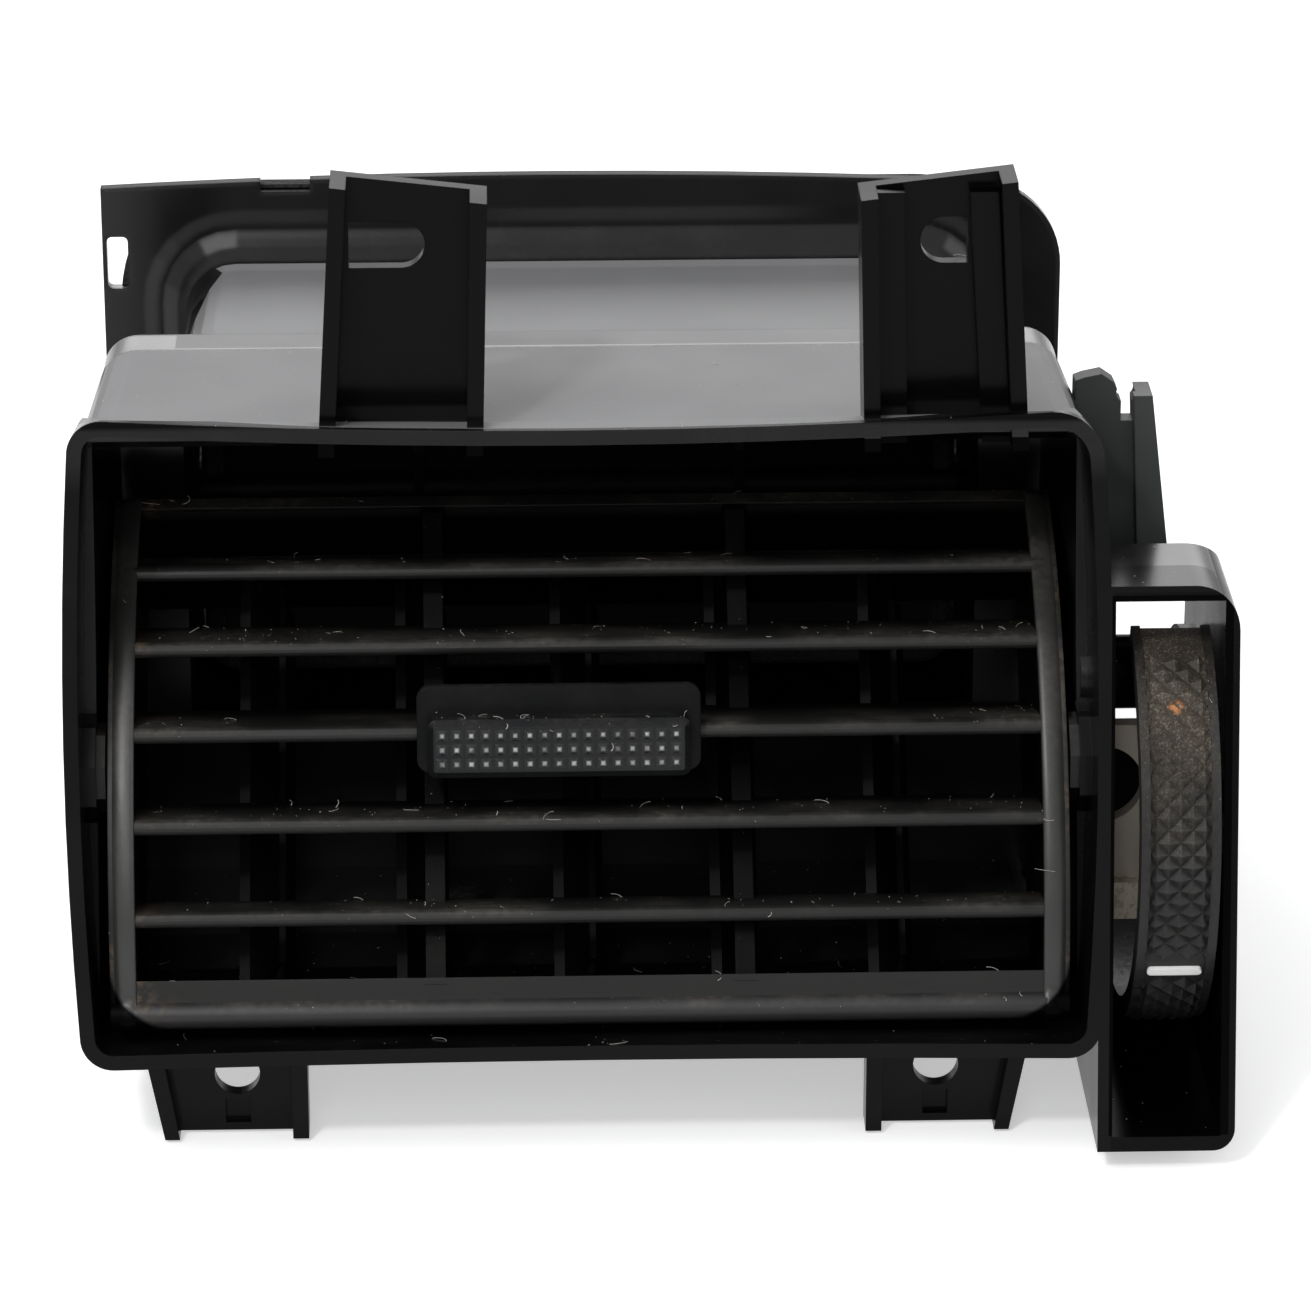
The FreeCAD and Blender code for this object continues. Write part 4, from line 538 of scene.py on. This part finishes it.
def wheel_dust(tree, coords):
    """Share of the wheel's brown dust, which thickens towards its top and lies mostly on the tread."""
    x, _, z = tree.split(coords)
    aside = tree.math("ABSOLUTE", tree.math("SUBTRACT", x, WHEEL_CENTRE.x))
    tread = tree.math("LESS_THAN", aside, TREAD_HALF_WIDTH)
    patches = noise(tree, coords, 140.0, 5.0, 0.65)
    specks = ramp(tree, noise(tree, coords, 3200.0, 4.0), 0.53, 0.62, 0.30, 1.0)
    upper = ramp(tree, z, DUST_LOW, DUST_HIGH, 0.05, 0.95)
    caught = tree.math("MULTIPLY", upper, ramp(tree, patches, 0.35, 0.62, 0.35, 1.0))
    speckled = tree.math("MULTIPLY", caught, specks)
    return tree.math("MULTIPLY", speckled, ramp(tree, tread, 0.0, 1.0, 0.25, 0.8))


def dusty_rubber(name):
    """The wheel's black rubber, with brown dust and one orange spot."""
    material, tree, shader, coords = new_material(name)
    fine = noise(tree, coords, 1500.0, 3.0)
    black = mix_colour(tree, ramp(tree, fine, 0.3, 0.7), colour(0.005, 0.005, 0.005),
                       colour(0.013, 0.013, 0.013))
    dusty = mix_colour(tree, wheel_dust(tree, coords), black, colour(0.23, 0.19, 0.145))
    away = tree.add("ShaderNodeVectorMath", {"operation": "DISTANCE"})
    tree.feed(away, 0, coords)
    tree.feed(away, 1, ORANGE_SPOT)
    spot = ramp(tree, away.outputs["Value"], ORANGE_SIZE * 0.4, ORANGE_SIZE, 0.9, 0.0)
    spot = tree.math("MULTIPLY", spot, ramp(tree, fine, 0.4, 0.55))
    tree.feed(shader, "Base Color", mix_colour(tree, spot, dusty, colour(0.50, 0.20, 0.07)))
    shader.inputs["Specular IOR Level"].default_value = 0.25
    tree.feed(shader, "Roughness", ramp(tree, fine, 0.3, 0.7, 0.36, 0.55))
    bevel = tree.add("ShaderNodeBevel", {"samples": 2}, Radius=0.12 * MM)
    bump = tree.add("ShaderNodeBump", Strength=1.0, Distance=0.05 * MM, Height=fine, Normal=bevel.outputs[0])
    tree.feed(shader, "Normal", bump.outputs[0])
    return material


def fibre(name, shade):
    """Matt lint and dust, slightly uneven in tone."""
    material, tree, shader, coords = new_material(name)
    fine = noise(tree, coords, 3000.0, 2.0)
    lighter = [min(1.0, part * 1.3) for part in shade]
    tree.feed(shader, "Base Color", mix_colour(tree, fine, colour(*shade), colour(*lighter)))
    shader.inputs["Roughness"].default_value = 0.9
    return material


def dress(names, material):
    for name in names:
        data = NODES[name].data
        data.materials.clear()
        data.materials.append(material)


def matching(*starts):
    return [name for name in NODES if name.startswith(starts)]


def dress_casings():
    # Housing and duct: painted shade where the light hardly reaches, and a painted sheen on their tops
    dress(["front_housing"], plastic("rim_gloss", (0.004, 0.004, 0.0045), 0.22, dust=0.05, grain=0.003,
                                     specular=0.22, dark=housing_shade, sheen=inside_boxes(BODY_TOP_SHEEN)))
    dress(["rear_duct"], plastic("duct_satin", (0.005, 0.005, 0.0055), 0.20, dust=0.03, grain=0.003,
                                 specular=0.25, edge=1.0 * MM, dark=duct_shade, sheen=inside_boxes(DUCT_TOP_SHEEN)))
    dress(["side_arm"], plastic("arm_matte", (0.026, 0.029, 0.029), 0.5, dust=0.15, specular=0.3))


def dress_louvre():
    # The drum: painted shade behind its face, on its ribs and past its corners, dirt at the slat ends, and
    # painted light on its lower bar
    dress(["louvre_drum"], plastic("drum_grained", (0.010, 0.010, 0.0095), 0.36, dust=0.16, specular=0.2,
                                   dark=drum_shade, dirt=slat_ends,
                                   tint_and_light=(lower_bar_light, (0.026, 0.026, 0.027))))
    # The vanes: black plastic made darker and less glossy than the drum's, painting the shade inside the drum
    dress(matching("vane_"), plastic("vane_shaded_satin", (0.002, 0.002, 0.002), 0.5, dust=0.02, specular=0.06,
                                     edge=None))
    dress(["slider_clip"], plastic("slider_satin", (0.003, 0.0032, 0.0035), 0.28, dust=0.10, specular=0.08,
                                   edge=0.5 * MM))
    # The grip: painted glints on the tips of its studs
    dress(["slider_grip"], plastic("grip_soft", (0.004, 0.0045, 0.005), 0.2, dust=0.12, edge=0.12 * MM,
                                   specular=0.25, tint_and_light=(stud_glints, (0.42, 0.43, 0.43))))


def dress_wheel_and_flap():
    dress(["thumbwheel"], dusty_rubber("wheel_rubber"))
    dress(["wheel_mark"], plastic("mark_white", (0.83, 0.83, 0.81), 0.45, dust=0.3,
                                  dust_colour=(0.55, 0.52, 0.47)))
    dress(["wheel_carrier"], plastic("carrier_dusty", (0.55, 0.49, 0.41), 0.75, dust=0.5,
                                     dust_colour=(0.42, 0.36, 0.28), grain=0.06, edge=None,
                                     tint_and_light=(carrier_block, (0.85, 0.76, 0.60))))
    dress(["wheel_axle"], turned_steel("axle_steel"))
    dress(["link_rod", "flap_crank"], plastic("rod_grey", (0.02, 0.02, 0.02), 0.45, dust=0.1, edge=None))
    dress(matching("drum_bush", "flap_bush"), plastic("bush_dark", (0.006, 0.006, 0.006), 0.35, dust=0.1,
                                                      specular=0.2, edge=None))
    dress(["flap"], plastic("flap_satin", (0.002, 0.002, 0.002), 0.5, dust=0.05, specular=0.08, edge=None))
    dress(["inlet_gasket", "flap_seal_front", "flap_seal_rear"], foam("foam_open"))


def group_input(tree, name, kind, value):
    socket = tree.tree.interface.new_socket(name, in_out="INPUT", socket_type=kind)
    if value is not None:
        socket.default_value = value
    return socket


def keep_piece(name, mesh, body):
    """Puts a finished mesh in the scene as a piece that rides on a body."""
    piece = bpy.data.objects.new(name, mesh)
    bpy.context.scene.collection.objects.link(piece)
    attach(piece, body)


def nodes_mesh(name, host_mesh, make, settings, body):
    """Runs a geometry tree on a host mesh and keeps the result as a plain piece riding on a body."""
    group = bpy.data.node_groups.new(name + "_tree", "GeometryNodeTree")
    tree = Tree(group)
    group_input(tree, "Geometry", "NodeSocketGeometry", None)
    sockets = {}
    for key, (kind, value) in settings.items():
        sockets[key] = group_input(tree, key, kind, value)
    group.interface.new_socket("Geometry", in_out="OUTPUT", socket_type="NodeSocketGeometry")
    start = tree.add("NodeGroupInput")
    end = tree.add("NodeGroupOutput")
    make(tree, start, end)
    host = bpy.data.objects.new(name + "_host", host_mesh)
    bpy.context.scene.collection.objects.link(host)
    modifier = host.modifiers.new("pattern", "NODES")
    modifier.node_group = group
    for key, (_, value) in settings.items():
        modifier[sockets[key].identifier] = tuple(value) if isinstance(value, Vector) else value
    bpy.context.view_layer.update()
    evaluated = host.evaluated_get(bpy.context.evaluated_depsgraph_get())
    mesh = bpy.data.meshes.new_from_object(evaluated)
    host.modifiers.remove(modifier)
    bpy.data.objects.remove(host)
    keep_piece(name, mesh, body)


def seed_mesh(name):
    """A mesh of one point, for a tree that makes all its geometry itself."""
    mesh = bpy.data.meshes.new(name)
    mesh.from_pydata([(0, 0, 0)], [], [])
    return mesh


def knurl_studs(tree, out):
    """A flat lattice of diamond pyramids: x across the tread, y along it, z outwards."""
    index = tree.add("GeometryNodeInputIndex").outputs[0]
    columns = float(KNURL_COLUMNS)
    row = tree.math("FLOOR", tree.math("DIVIDE", index, columns))
    column = tree.math("SUBTRACT", tree.math("SUBTRACT", index, tree.math("MULTIPLY", row, columns)),
                       float(KNURL_COLUMNS // 2))
    line = tree.add("GeometryNodeMeshLine", {"mode": "OFFSET"},
                    Count=tree.math("MULTIPLY", out["Rows"], columns))
    step_x = tree.math("MULTIPLY", out["Half Width"], KNURL_STEP_SHARE)
    step_y = tree.math("MULTIPLY", out["Pitch"], 0.5)
    flat = tree.add("ShaderNodeCombineXYZ", X=tree.math("MULTIPLY", column, step_x),
                    Y=tree.math("MULTIPLY", row, step_y))
    laid = tree.add("GeometryNodeSetPosition", Geometry=line.outputs[0], Position=flat.outputs[0])
    parity = tree.math("MODULO", tree.math("ADD", tree.math("ADD", row, column), EVEN_SHIFT), 2.0)
    cone = tree.add("GeometryNodeMeshCone", Vertices=4, Depth=1.0)
    tree.feed(cone, "Radius Top", 0.0)
    tree.feed(cone, "Radius Bottom", 1.0)
    size = tree.add("ShaderNodeCombineXYZ", X=step_x, Y=step_y, Z=out["Height"])
    studs = tree.add("GeometryNodeInstanceOnPoints", Points=laid.outputs[0],
                     Selection=tree.math("LESS_THAN", parity, 0.5), Instance=cone.outputs[0],
                     Scale=size.outputs[0])
    return tree.add("GeometryNodeRealizeInstances", Geometry=studs.outputs[0]).outputs[0]


def knurl_tree(tree, start, end):
    """The lattice of studs, clipped at the tread's edges, bent round the wheel and flat at the mark."""
    out = start.outputs
    studs = knurl_studs(tree, out)
    across, along, outward = tree.split(tree.add("GeometryNodeInputPosition").outputs[0])
    half_width = out["Half Width"]
    clipped = tree.math("MAXIMUM", tree.math("MINIMUM", across, half_width),
                        tree.math("MULTIPLY", half_width, -1.0))
    angle = tree.math("ADD", tree.math("DIVIDE", along, out["Radius"]), out["First Angle"])
    from_mark = tree.math("ABSOLUTE", tree.math("SUBTRACT", angle, out["Mark Angle"]))
    clear = tree.math("GREATER_THAN", from_mark, tree.math("DIVIDE", out["Mark Room"], out["Radius"]))
    reach = tree.math("ADD", tree.math("MULTIPLY", outward, clear), out["Radius"])
    y = tree.math("MULTIPLY", tree.math("MULTIPLY", reach, tree.math("COSINE", angle)), -1.0)
    z = tree.math("MULTIPLY", reach, tree.math("SINE", angle))
    bent = tree.add("ShaderNodeCombineXYZ", X=clipped, Y=y, Z=z)
    seated = tree.add("ShaderNodeVectorMath", {"operation": "ADD"})
    tree.feed(seated, 0, bent.outputs[0])
    tree.feed(seated, 1, out["Centre"])
    wrapped = tree.add("GeometryNodeSetPosition", Geometry=studs, Position=seated.outputs[0])
    painted = tree.add("GeometryNodeSetMaterial", Geometry=wrapped.outputs[0], Material=out["Material"])
    tree.feed(end, 0, painted.outputs[0])


def wheel_knurl():
    first = math.radians(KNURL_BOTTOM_ANGLE)
    span = math.radians(KNURL_TOP_ANGLE) - first
    settings = {
        "Rows": ("NodeSocketInt", int(span * WHEEL_RADIUS / (KNURL_PITCH / 2))),
        "Half Width": ("NodeSocketFloat", TREAD_HALF_WIDTH),
        "Pitch": ("NodeSocketFloat", KNURL_PITCH),
        "Height": ("NodeSocketFloat", KNURL_HEIGHT),
        "Radius": ("NodeSocketFloat", WHEEL_RADIUS - TREAD_DEPTH - KNURL_SINK),
        "Mark Angle": ("NodeSocketFloat", math.radians(MARK_ANGLE)),
        "Mark Room": ("NodeSocketFloat", MARK_ROOM),
        "First Angle": ("NodeSocketFloat", first),
        "Centre": ("NodeSocketVector", WHEEL_CENTRE),
        "Material": ("NodeSocketMaterial", NODES["thumbwheel"].data.materials[0]),
    }
    nodes_mesh("wheel_knurl", seed_mesh("knurl_seed"), knurl_tree, settings, "wheel")


def scattered(tree, out, density, seed_shift, instance, low, high, turn):
    """Copies of an instance on the faces that look up, with random size and turn."""
    x, y, z = tree.split(tree.add("GeometryNodeInputPosition").outputs[0])
    from_slat = tree.math("ABSOLUTE", tree.math("SUBTRACT", drum_height(tree, y, z), MIDDLE_SLAT))
    swept_by_slider = tree.math("MULTIPLY", tree.math("LESS_THAN", from_slat, SLIDER_ROOM),
                                tree.math("LESS_THAN", from_middle(tree, x), SLIDER_REACH))
    kept = tree.math("SUBTRACT", 1.0, tree.math("MULTIPLY", swept_by_slider, out["Clear Slider"]))
    normal = tree.split(tree.add("GeometryNodeInputNormal").outputs[0])
    upward = tree.math("GREATER_THAN", normal[2], LOOKS_UP)
    seed = tree.math("ADD", out["Seed"], seed_shift)
    points = tree.add("GeometryNodeDistributePointsOnFaces", Mesh=out["Geometry"], Selection=upward,
                      Density=density, Seed=seed)
    size = tree.add("FunctionNodeRandomValue", {"data_type": "FLOAT_VECTOR"}, Seed=seed)
    tree.feed(size, "Min", low)
    tree.feed(size, "Max", high)
    spin = tree.add("FunctionNodeRandomValue", {"data_type": "FLOAT_VECTOR"}, Seed=seed)
    tree.feed(spin, "Min", (-turn, -turn, 0.0))
    tree.feed(spin, "Max", (turn, turn, 2 * math.pi))
    return tree.add("GeometryNodeInstanceOnPoints", Points=points.outputs[0], Instance=instance,
                    Selection=kept, Scale=size.outputs[0], Rotation=spin.outputs[0]).outputs[0]


def dirt_tree(tree, start, end):
    """Dust flakes and curled lint on the faces that look up."""
    out = start.outputs
    flake = tree.add("GeometryNodeMeshCone", Vertices=3, Depth=FLAKE_HEIGHT)
    tree.feed(flake, "Radius Top", 0.0)
    tree.feed(flake, "Radius Bottom", 1.0)
    flakes = scattered(tree, out, out["Flakes"], 0.0, flake.outputs[0], FLAKE_SMALL, FLAKE_LARGE, FLAKE_TURN)
    arc = tree.add("GeometryNodeCurveArc", Resolution=9, Radius=1.0)
    tree.feed(arc, "Sweep Angle", LINT_SWEEP)
    thread = tree.add("GeometryNodeCurvePrimitiveCircle", Resolution=3, Radius=LINT_THICKNESS)
    curl = tree.add("GeometryNodeCurveToMesh", Curve=arc.outputs[0])
    tree.feed(curl, "Profile Curve", thread.outputs[0])
    lint = scattered(tree, out, out["Lint"], LINT_SEED_SHIFT, curl.outputs[0], LINT_SMALL, LINT_LARGE,
                     LINT_TURN)
    both = tree.add("GeometryNodeJoinGeometry")
    for dirt in (flakes, lint):
        tree.tree.links.new(dirt, both.inputs[0])
    solid = tree.add("GeometryNodeRealizeInstances", Geometry=both.outputs[0])
    painted = tree.add("GeometryNodeSetMaterial", Geometry=solid.outputs[0], Material=out["Material"])
    tree.feed(end, 0, painted.outputs[0])


def dirt_pieces():
    pale = fibre("dust_pale", (0.48, 0.46, 0.42))
    for number, (node, body, flakes, lint) in enumerate(DIRTY):
        settings = {
            "Flakes": ("NodeSocketFloat", flakes),
            "Lint": ("NodeSocketFloat", lint),
            "Seed": ("NodeSocketInt", FIRST_SEED + number),
            "Clear Slider": ("NodeSocketFloat", 1.0 if body == "drum" else 0.0),
            "Material": ("NodeSocketMaterial", pale),
        }
        nodes_mesh(f"dirt_{body}", NODES[node].data.copy(), dirt_tree, settings, body)


def new_piece(name, corners, faces, body, material):
    """Makes a smooth mesh from corners and faces and keeps it as a piece."""
    mesh = bpy.data.meshes.new(name)
    mesh.from_pydata([tuple(corner) for corner in corners], [], faces)
    mesh.materials.append(material)
    mesh.shade_smooth()
    keep_piece(name, mesh, body)


def swept(rings):
    """Corners and faces of a closed skin through equal rings of points, with both ends shut."""
    count = len(rings[0])
    corners = [corner for ring in rings for corner in ring]
    faces = []
    for i in range(len(rings) - 1):
        for j in range(count):
            k = (j + 1) % count
            faces.append((i * count + j, i * count + k, (i + 1) * count + k, (i + 1) * count + j))
    faces.append(tuple(range(count))[::-1])
    faces.append(tuple(range((len(rings) - 1) * count, len(rings) * count)))
    return corners, faces


def face_path():
    """Points (y, z) down the drum's curved face and round its lower lip, with outward normals."""
    middle_y, middle_z = FACE_MIDDLE
    points = []
    for step in range(FACE_STEPS + 1):
        a = math.radians(FACE_TOP_ANGLE - FACE_SWEEP * step / FACE_STEPS)
        points.append((middle_y - FACE_RADIUS * math.cos(a), middle_z + FACE_RADIUS * math.sin(a)))
    points.extend(LOWER_LIP)
    path = []
    for i, (y, z) in enumerate(points):
        before = points[max(i - 1, 0)]
        after = points[min(i + 1, len(points) - 1)]
        run = Vector((after[0] - before[0], after[1] - before[1])).normalized()
        path.append((y, z, run.y, -run.x))
    return path


def drum_cheeks(material):
    """The rounded fronts of the drum's two sides."""
    for name, side in (("left", -1), ("right", 1)):
        rings = []
        for y, z, ny, nz in face_path():
            ring = [from_drum(side * x, y + ny * out, z + nz * out) for x, out in CHEEK_SECTION]
            rings.append(ring if side > 0 else ring[::-1])
        corners, faces = swept(rings)
        new_piece(f"drum_cheek_{name}", corners, faces, "drum", material)


def lip_outline():
    """The lip's outer edge as points (across, along the flap), a rectangle with rounded corners."""
    turn = [math.radians(90.0 * step / LIP_CORNER_STEPS) for step in range(LIP_CORNER_STEPS + 1)]
    outline = []
    for side, up in ((1, 1), (-1, 1), (-1, -1), (1, -1)):
        end = LIP_HIGH if up > 0 else LIP_LOW
        arc = [(side * (LIP_HALF_WIDTH - LIP_CORNER * (1 - math.cos(a))),
                end - up * LIP_CORNER * (1 - math.sin(a))) for a in turn]
        outline += arc if side == up else arc[::-1]
    return outline


def flap_lip(material):
    """The soft edge of the flap's foam, which meets the duct's walls when the flap is shut."""
    c, s = math.cos(math.radians(FLAP_REST)), math.sin(math.radians(FLAP_REST))
    outline = lip_outline()
    rings = []
    for x, chord in outline + outline[:1]:
        ring = []
        for inward, across in LIP_SECTION:
            side = x - math.copysign(inward, x)
            along = chord - math.copysign(inward, chord) if abs(chord) > LIP_STRAIGHT else chord
            place = Vector((side, along * c - across * s, along * s + across * c))
            ring.append((FLAP_PIVOT + place) * MM)
        rings.append(ring)
    corners, faces = swept(rings)
    new_piece("flap_lip", corners, faces[:-2], "flap", material)


def carrier_recess(material):
    """The dished back of the carrier's round window, painted black for the shade inside it."""
    rings = []
    for step in range(DISH_STEPS + 1):
        a = math.radians(-90.0 + 180.0 * step / DISH_STEPS)
        rings.append([(WINDOW_CENTRE + Vector((radius * math.cos(a), depth, radius * math.sin(a)))) * MM
                      for radius, depth in DISH_PROFILE])
    corners, faces = swept(rings)
    new_piece("carrier_recess", corners, faces, "housing", material)


def set_camera():
    data = bpy.data.cameras.new("view")
    data.sensor_width = SENSOR_MM
    data.lens = SENSOR_MM * FOCAL_PIXELS / PHOTO_SIDE
    data.clip_start = CLIP_START
    camera = bpy.data.objects.new("view", data)
    camera.location = CAMERA_PLACE
    camera.rotation_euler = CAMERA_LOOK.to_track_quat("-Z", "Y").to_euler()
    bpy.context.scene.collection.objects.link(camera)
    bpy.context.scene.camera = camera


def area_light(name, place, target, size, power):
    data = bpy.data.lights.new(name, "AREA")
    data.shape = "RECTANGLE"
    data.size, data.size_y = size
    data.energy = power
    light = bpy.data.objects.new(name, data)
    light.location = place
    light.rotation_euler = (Vector(target) - Vector(place)).to_track_quat("-Z", "Y").to_euler()
    bpy.context.scene.collection.objects.link(light)


def seen_ray(tree):
    """One for rays from the camera, off gloss and through clear surfaces; zero for rays that light."""
    path = tree.add("ShaderNodeLightPath")
    seen = tree.math("MAXIMUM", path.outputs["Is Camera Ray"], path.outputs["Is Glossy Ray"])
    return tree.math("MAXIMUM", seen, path.outputs["Is Transmission Ray"])


def set_sky():
    world = bpy.data.worlds.new("pale")
    world.use_nodes = True
    bpy.context.scene.world = world
    tree = Tree(world.node_tree)
    back = world.node_tree.nodes["Background"]
    tree.feed(back, "Color", colour(*PALE_SKY))
    tree.feed(back, "Strength", ramp(tree, seen_ray(tree), 0.0, 1.0, SKY_LIGHT, 1.0))


def set_floor():
    material = bpy.data.materials.new("floor_pale")
    material.use_nodes = True
    tree = Tree(material.node_tree)
    shader = material.node_tree.nodes["Principled BSDF"]
    shader.inputs["Base Color"].default_value = colour(*PALE_FLOOR)
    shader.inputs["Roughness"].default_value = 0.9
    shader.inputs["Emission Color"].default_value = colour(*PALE_FLOOR)
    tree.feed(shader, "Emission Strength", ramp(tree, seen_ray(tree), 0.0, 1.0, 0.0, FLOOR_GLOW))
    mesh = bpy.data.meshes.new("floor")
    level = cad_low.z - FLOOR_GAP
    corners = [(x * FLOOR_REACH, y * FLOOR_REACH, level) for x, y in ((-1, -1), (1, -1), (1, 1), (-1, 1))]
    mesh.from_pydata(corners, [], [(0, 1, 2, 3)])
    mesh.materials.append(material)
    floor = bpy.data.objects.new("floor", mesh)
    bpy.context.scene.collection.objects.link(floor)


set_camera()
set_sky()
set_floor()
for lamp in LAMPS:
    area_light(*lamp)
bpy.context.scene.view_settings.view_transform = "Standard"

dress_casings()
dress_louvre()
dress_wheel_and_flap()
wheel_knurl()
dirt_pieces()
# The drum's cheeks: the drum's plastic painted about twice as light for the light they catch, with painted
# shade outside the rounded corners
drum_cheeks(plastic("cheek_lit_satin", (0.021, 0.021, 0.020), 0.34, dust=0.12, specular=0.4, dark=beyond_corner))
flap_lip(foam("foam_lip"))
# A black dish that paints the shade at the back of the carrier's window
carrier_recess(plastic("recess_shade_black", (0.002, 0.002, 0.002), 0.6, dust=0.03, specular=0.05))
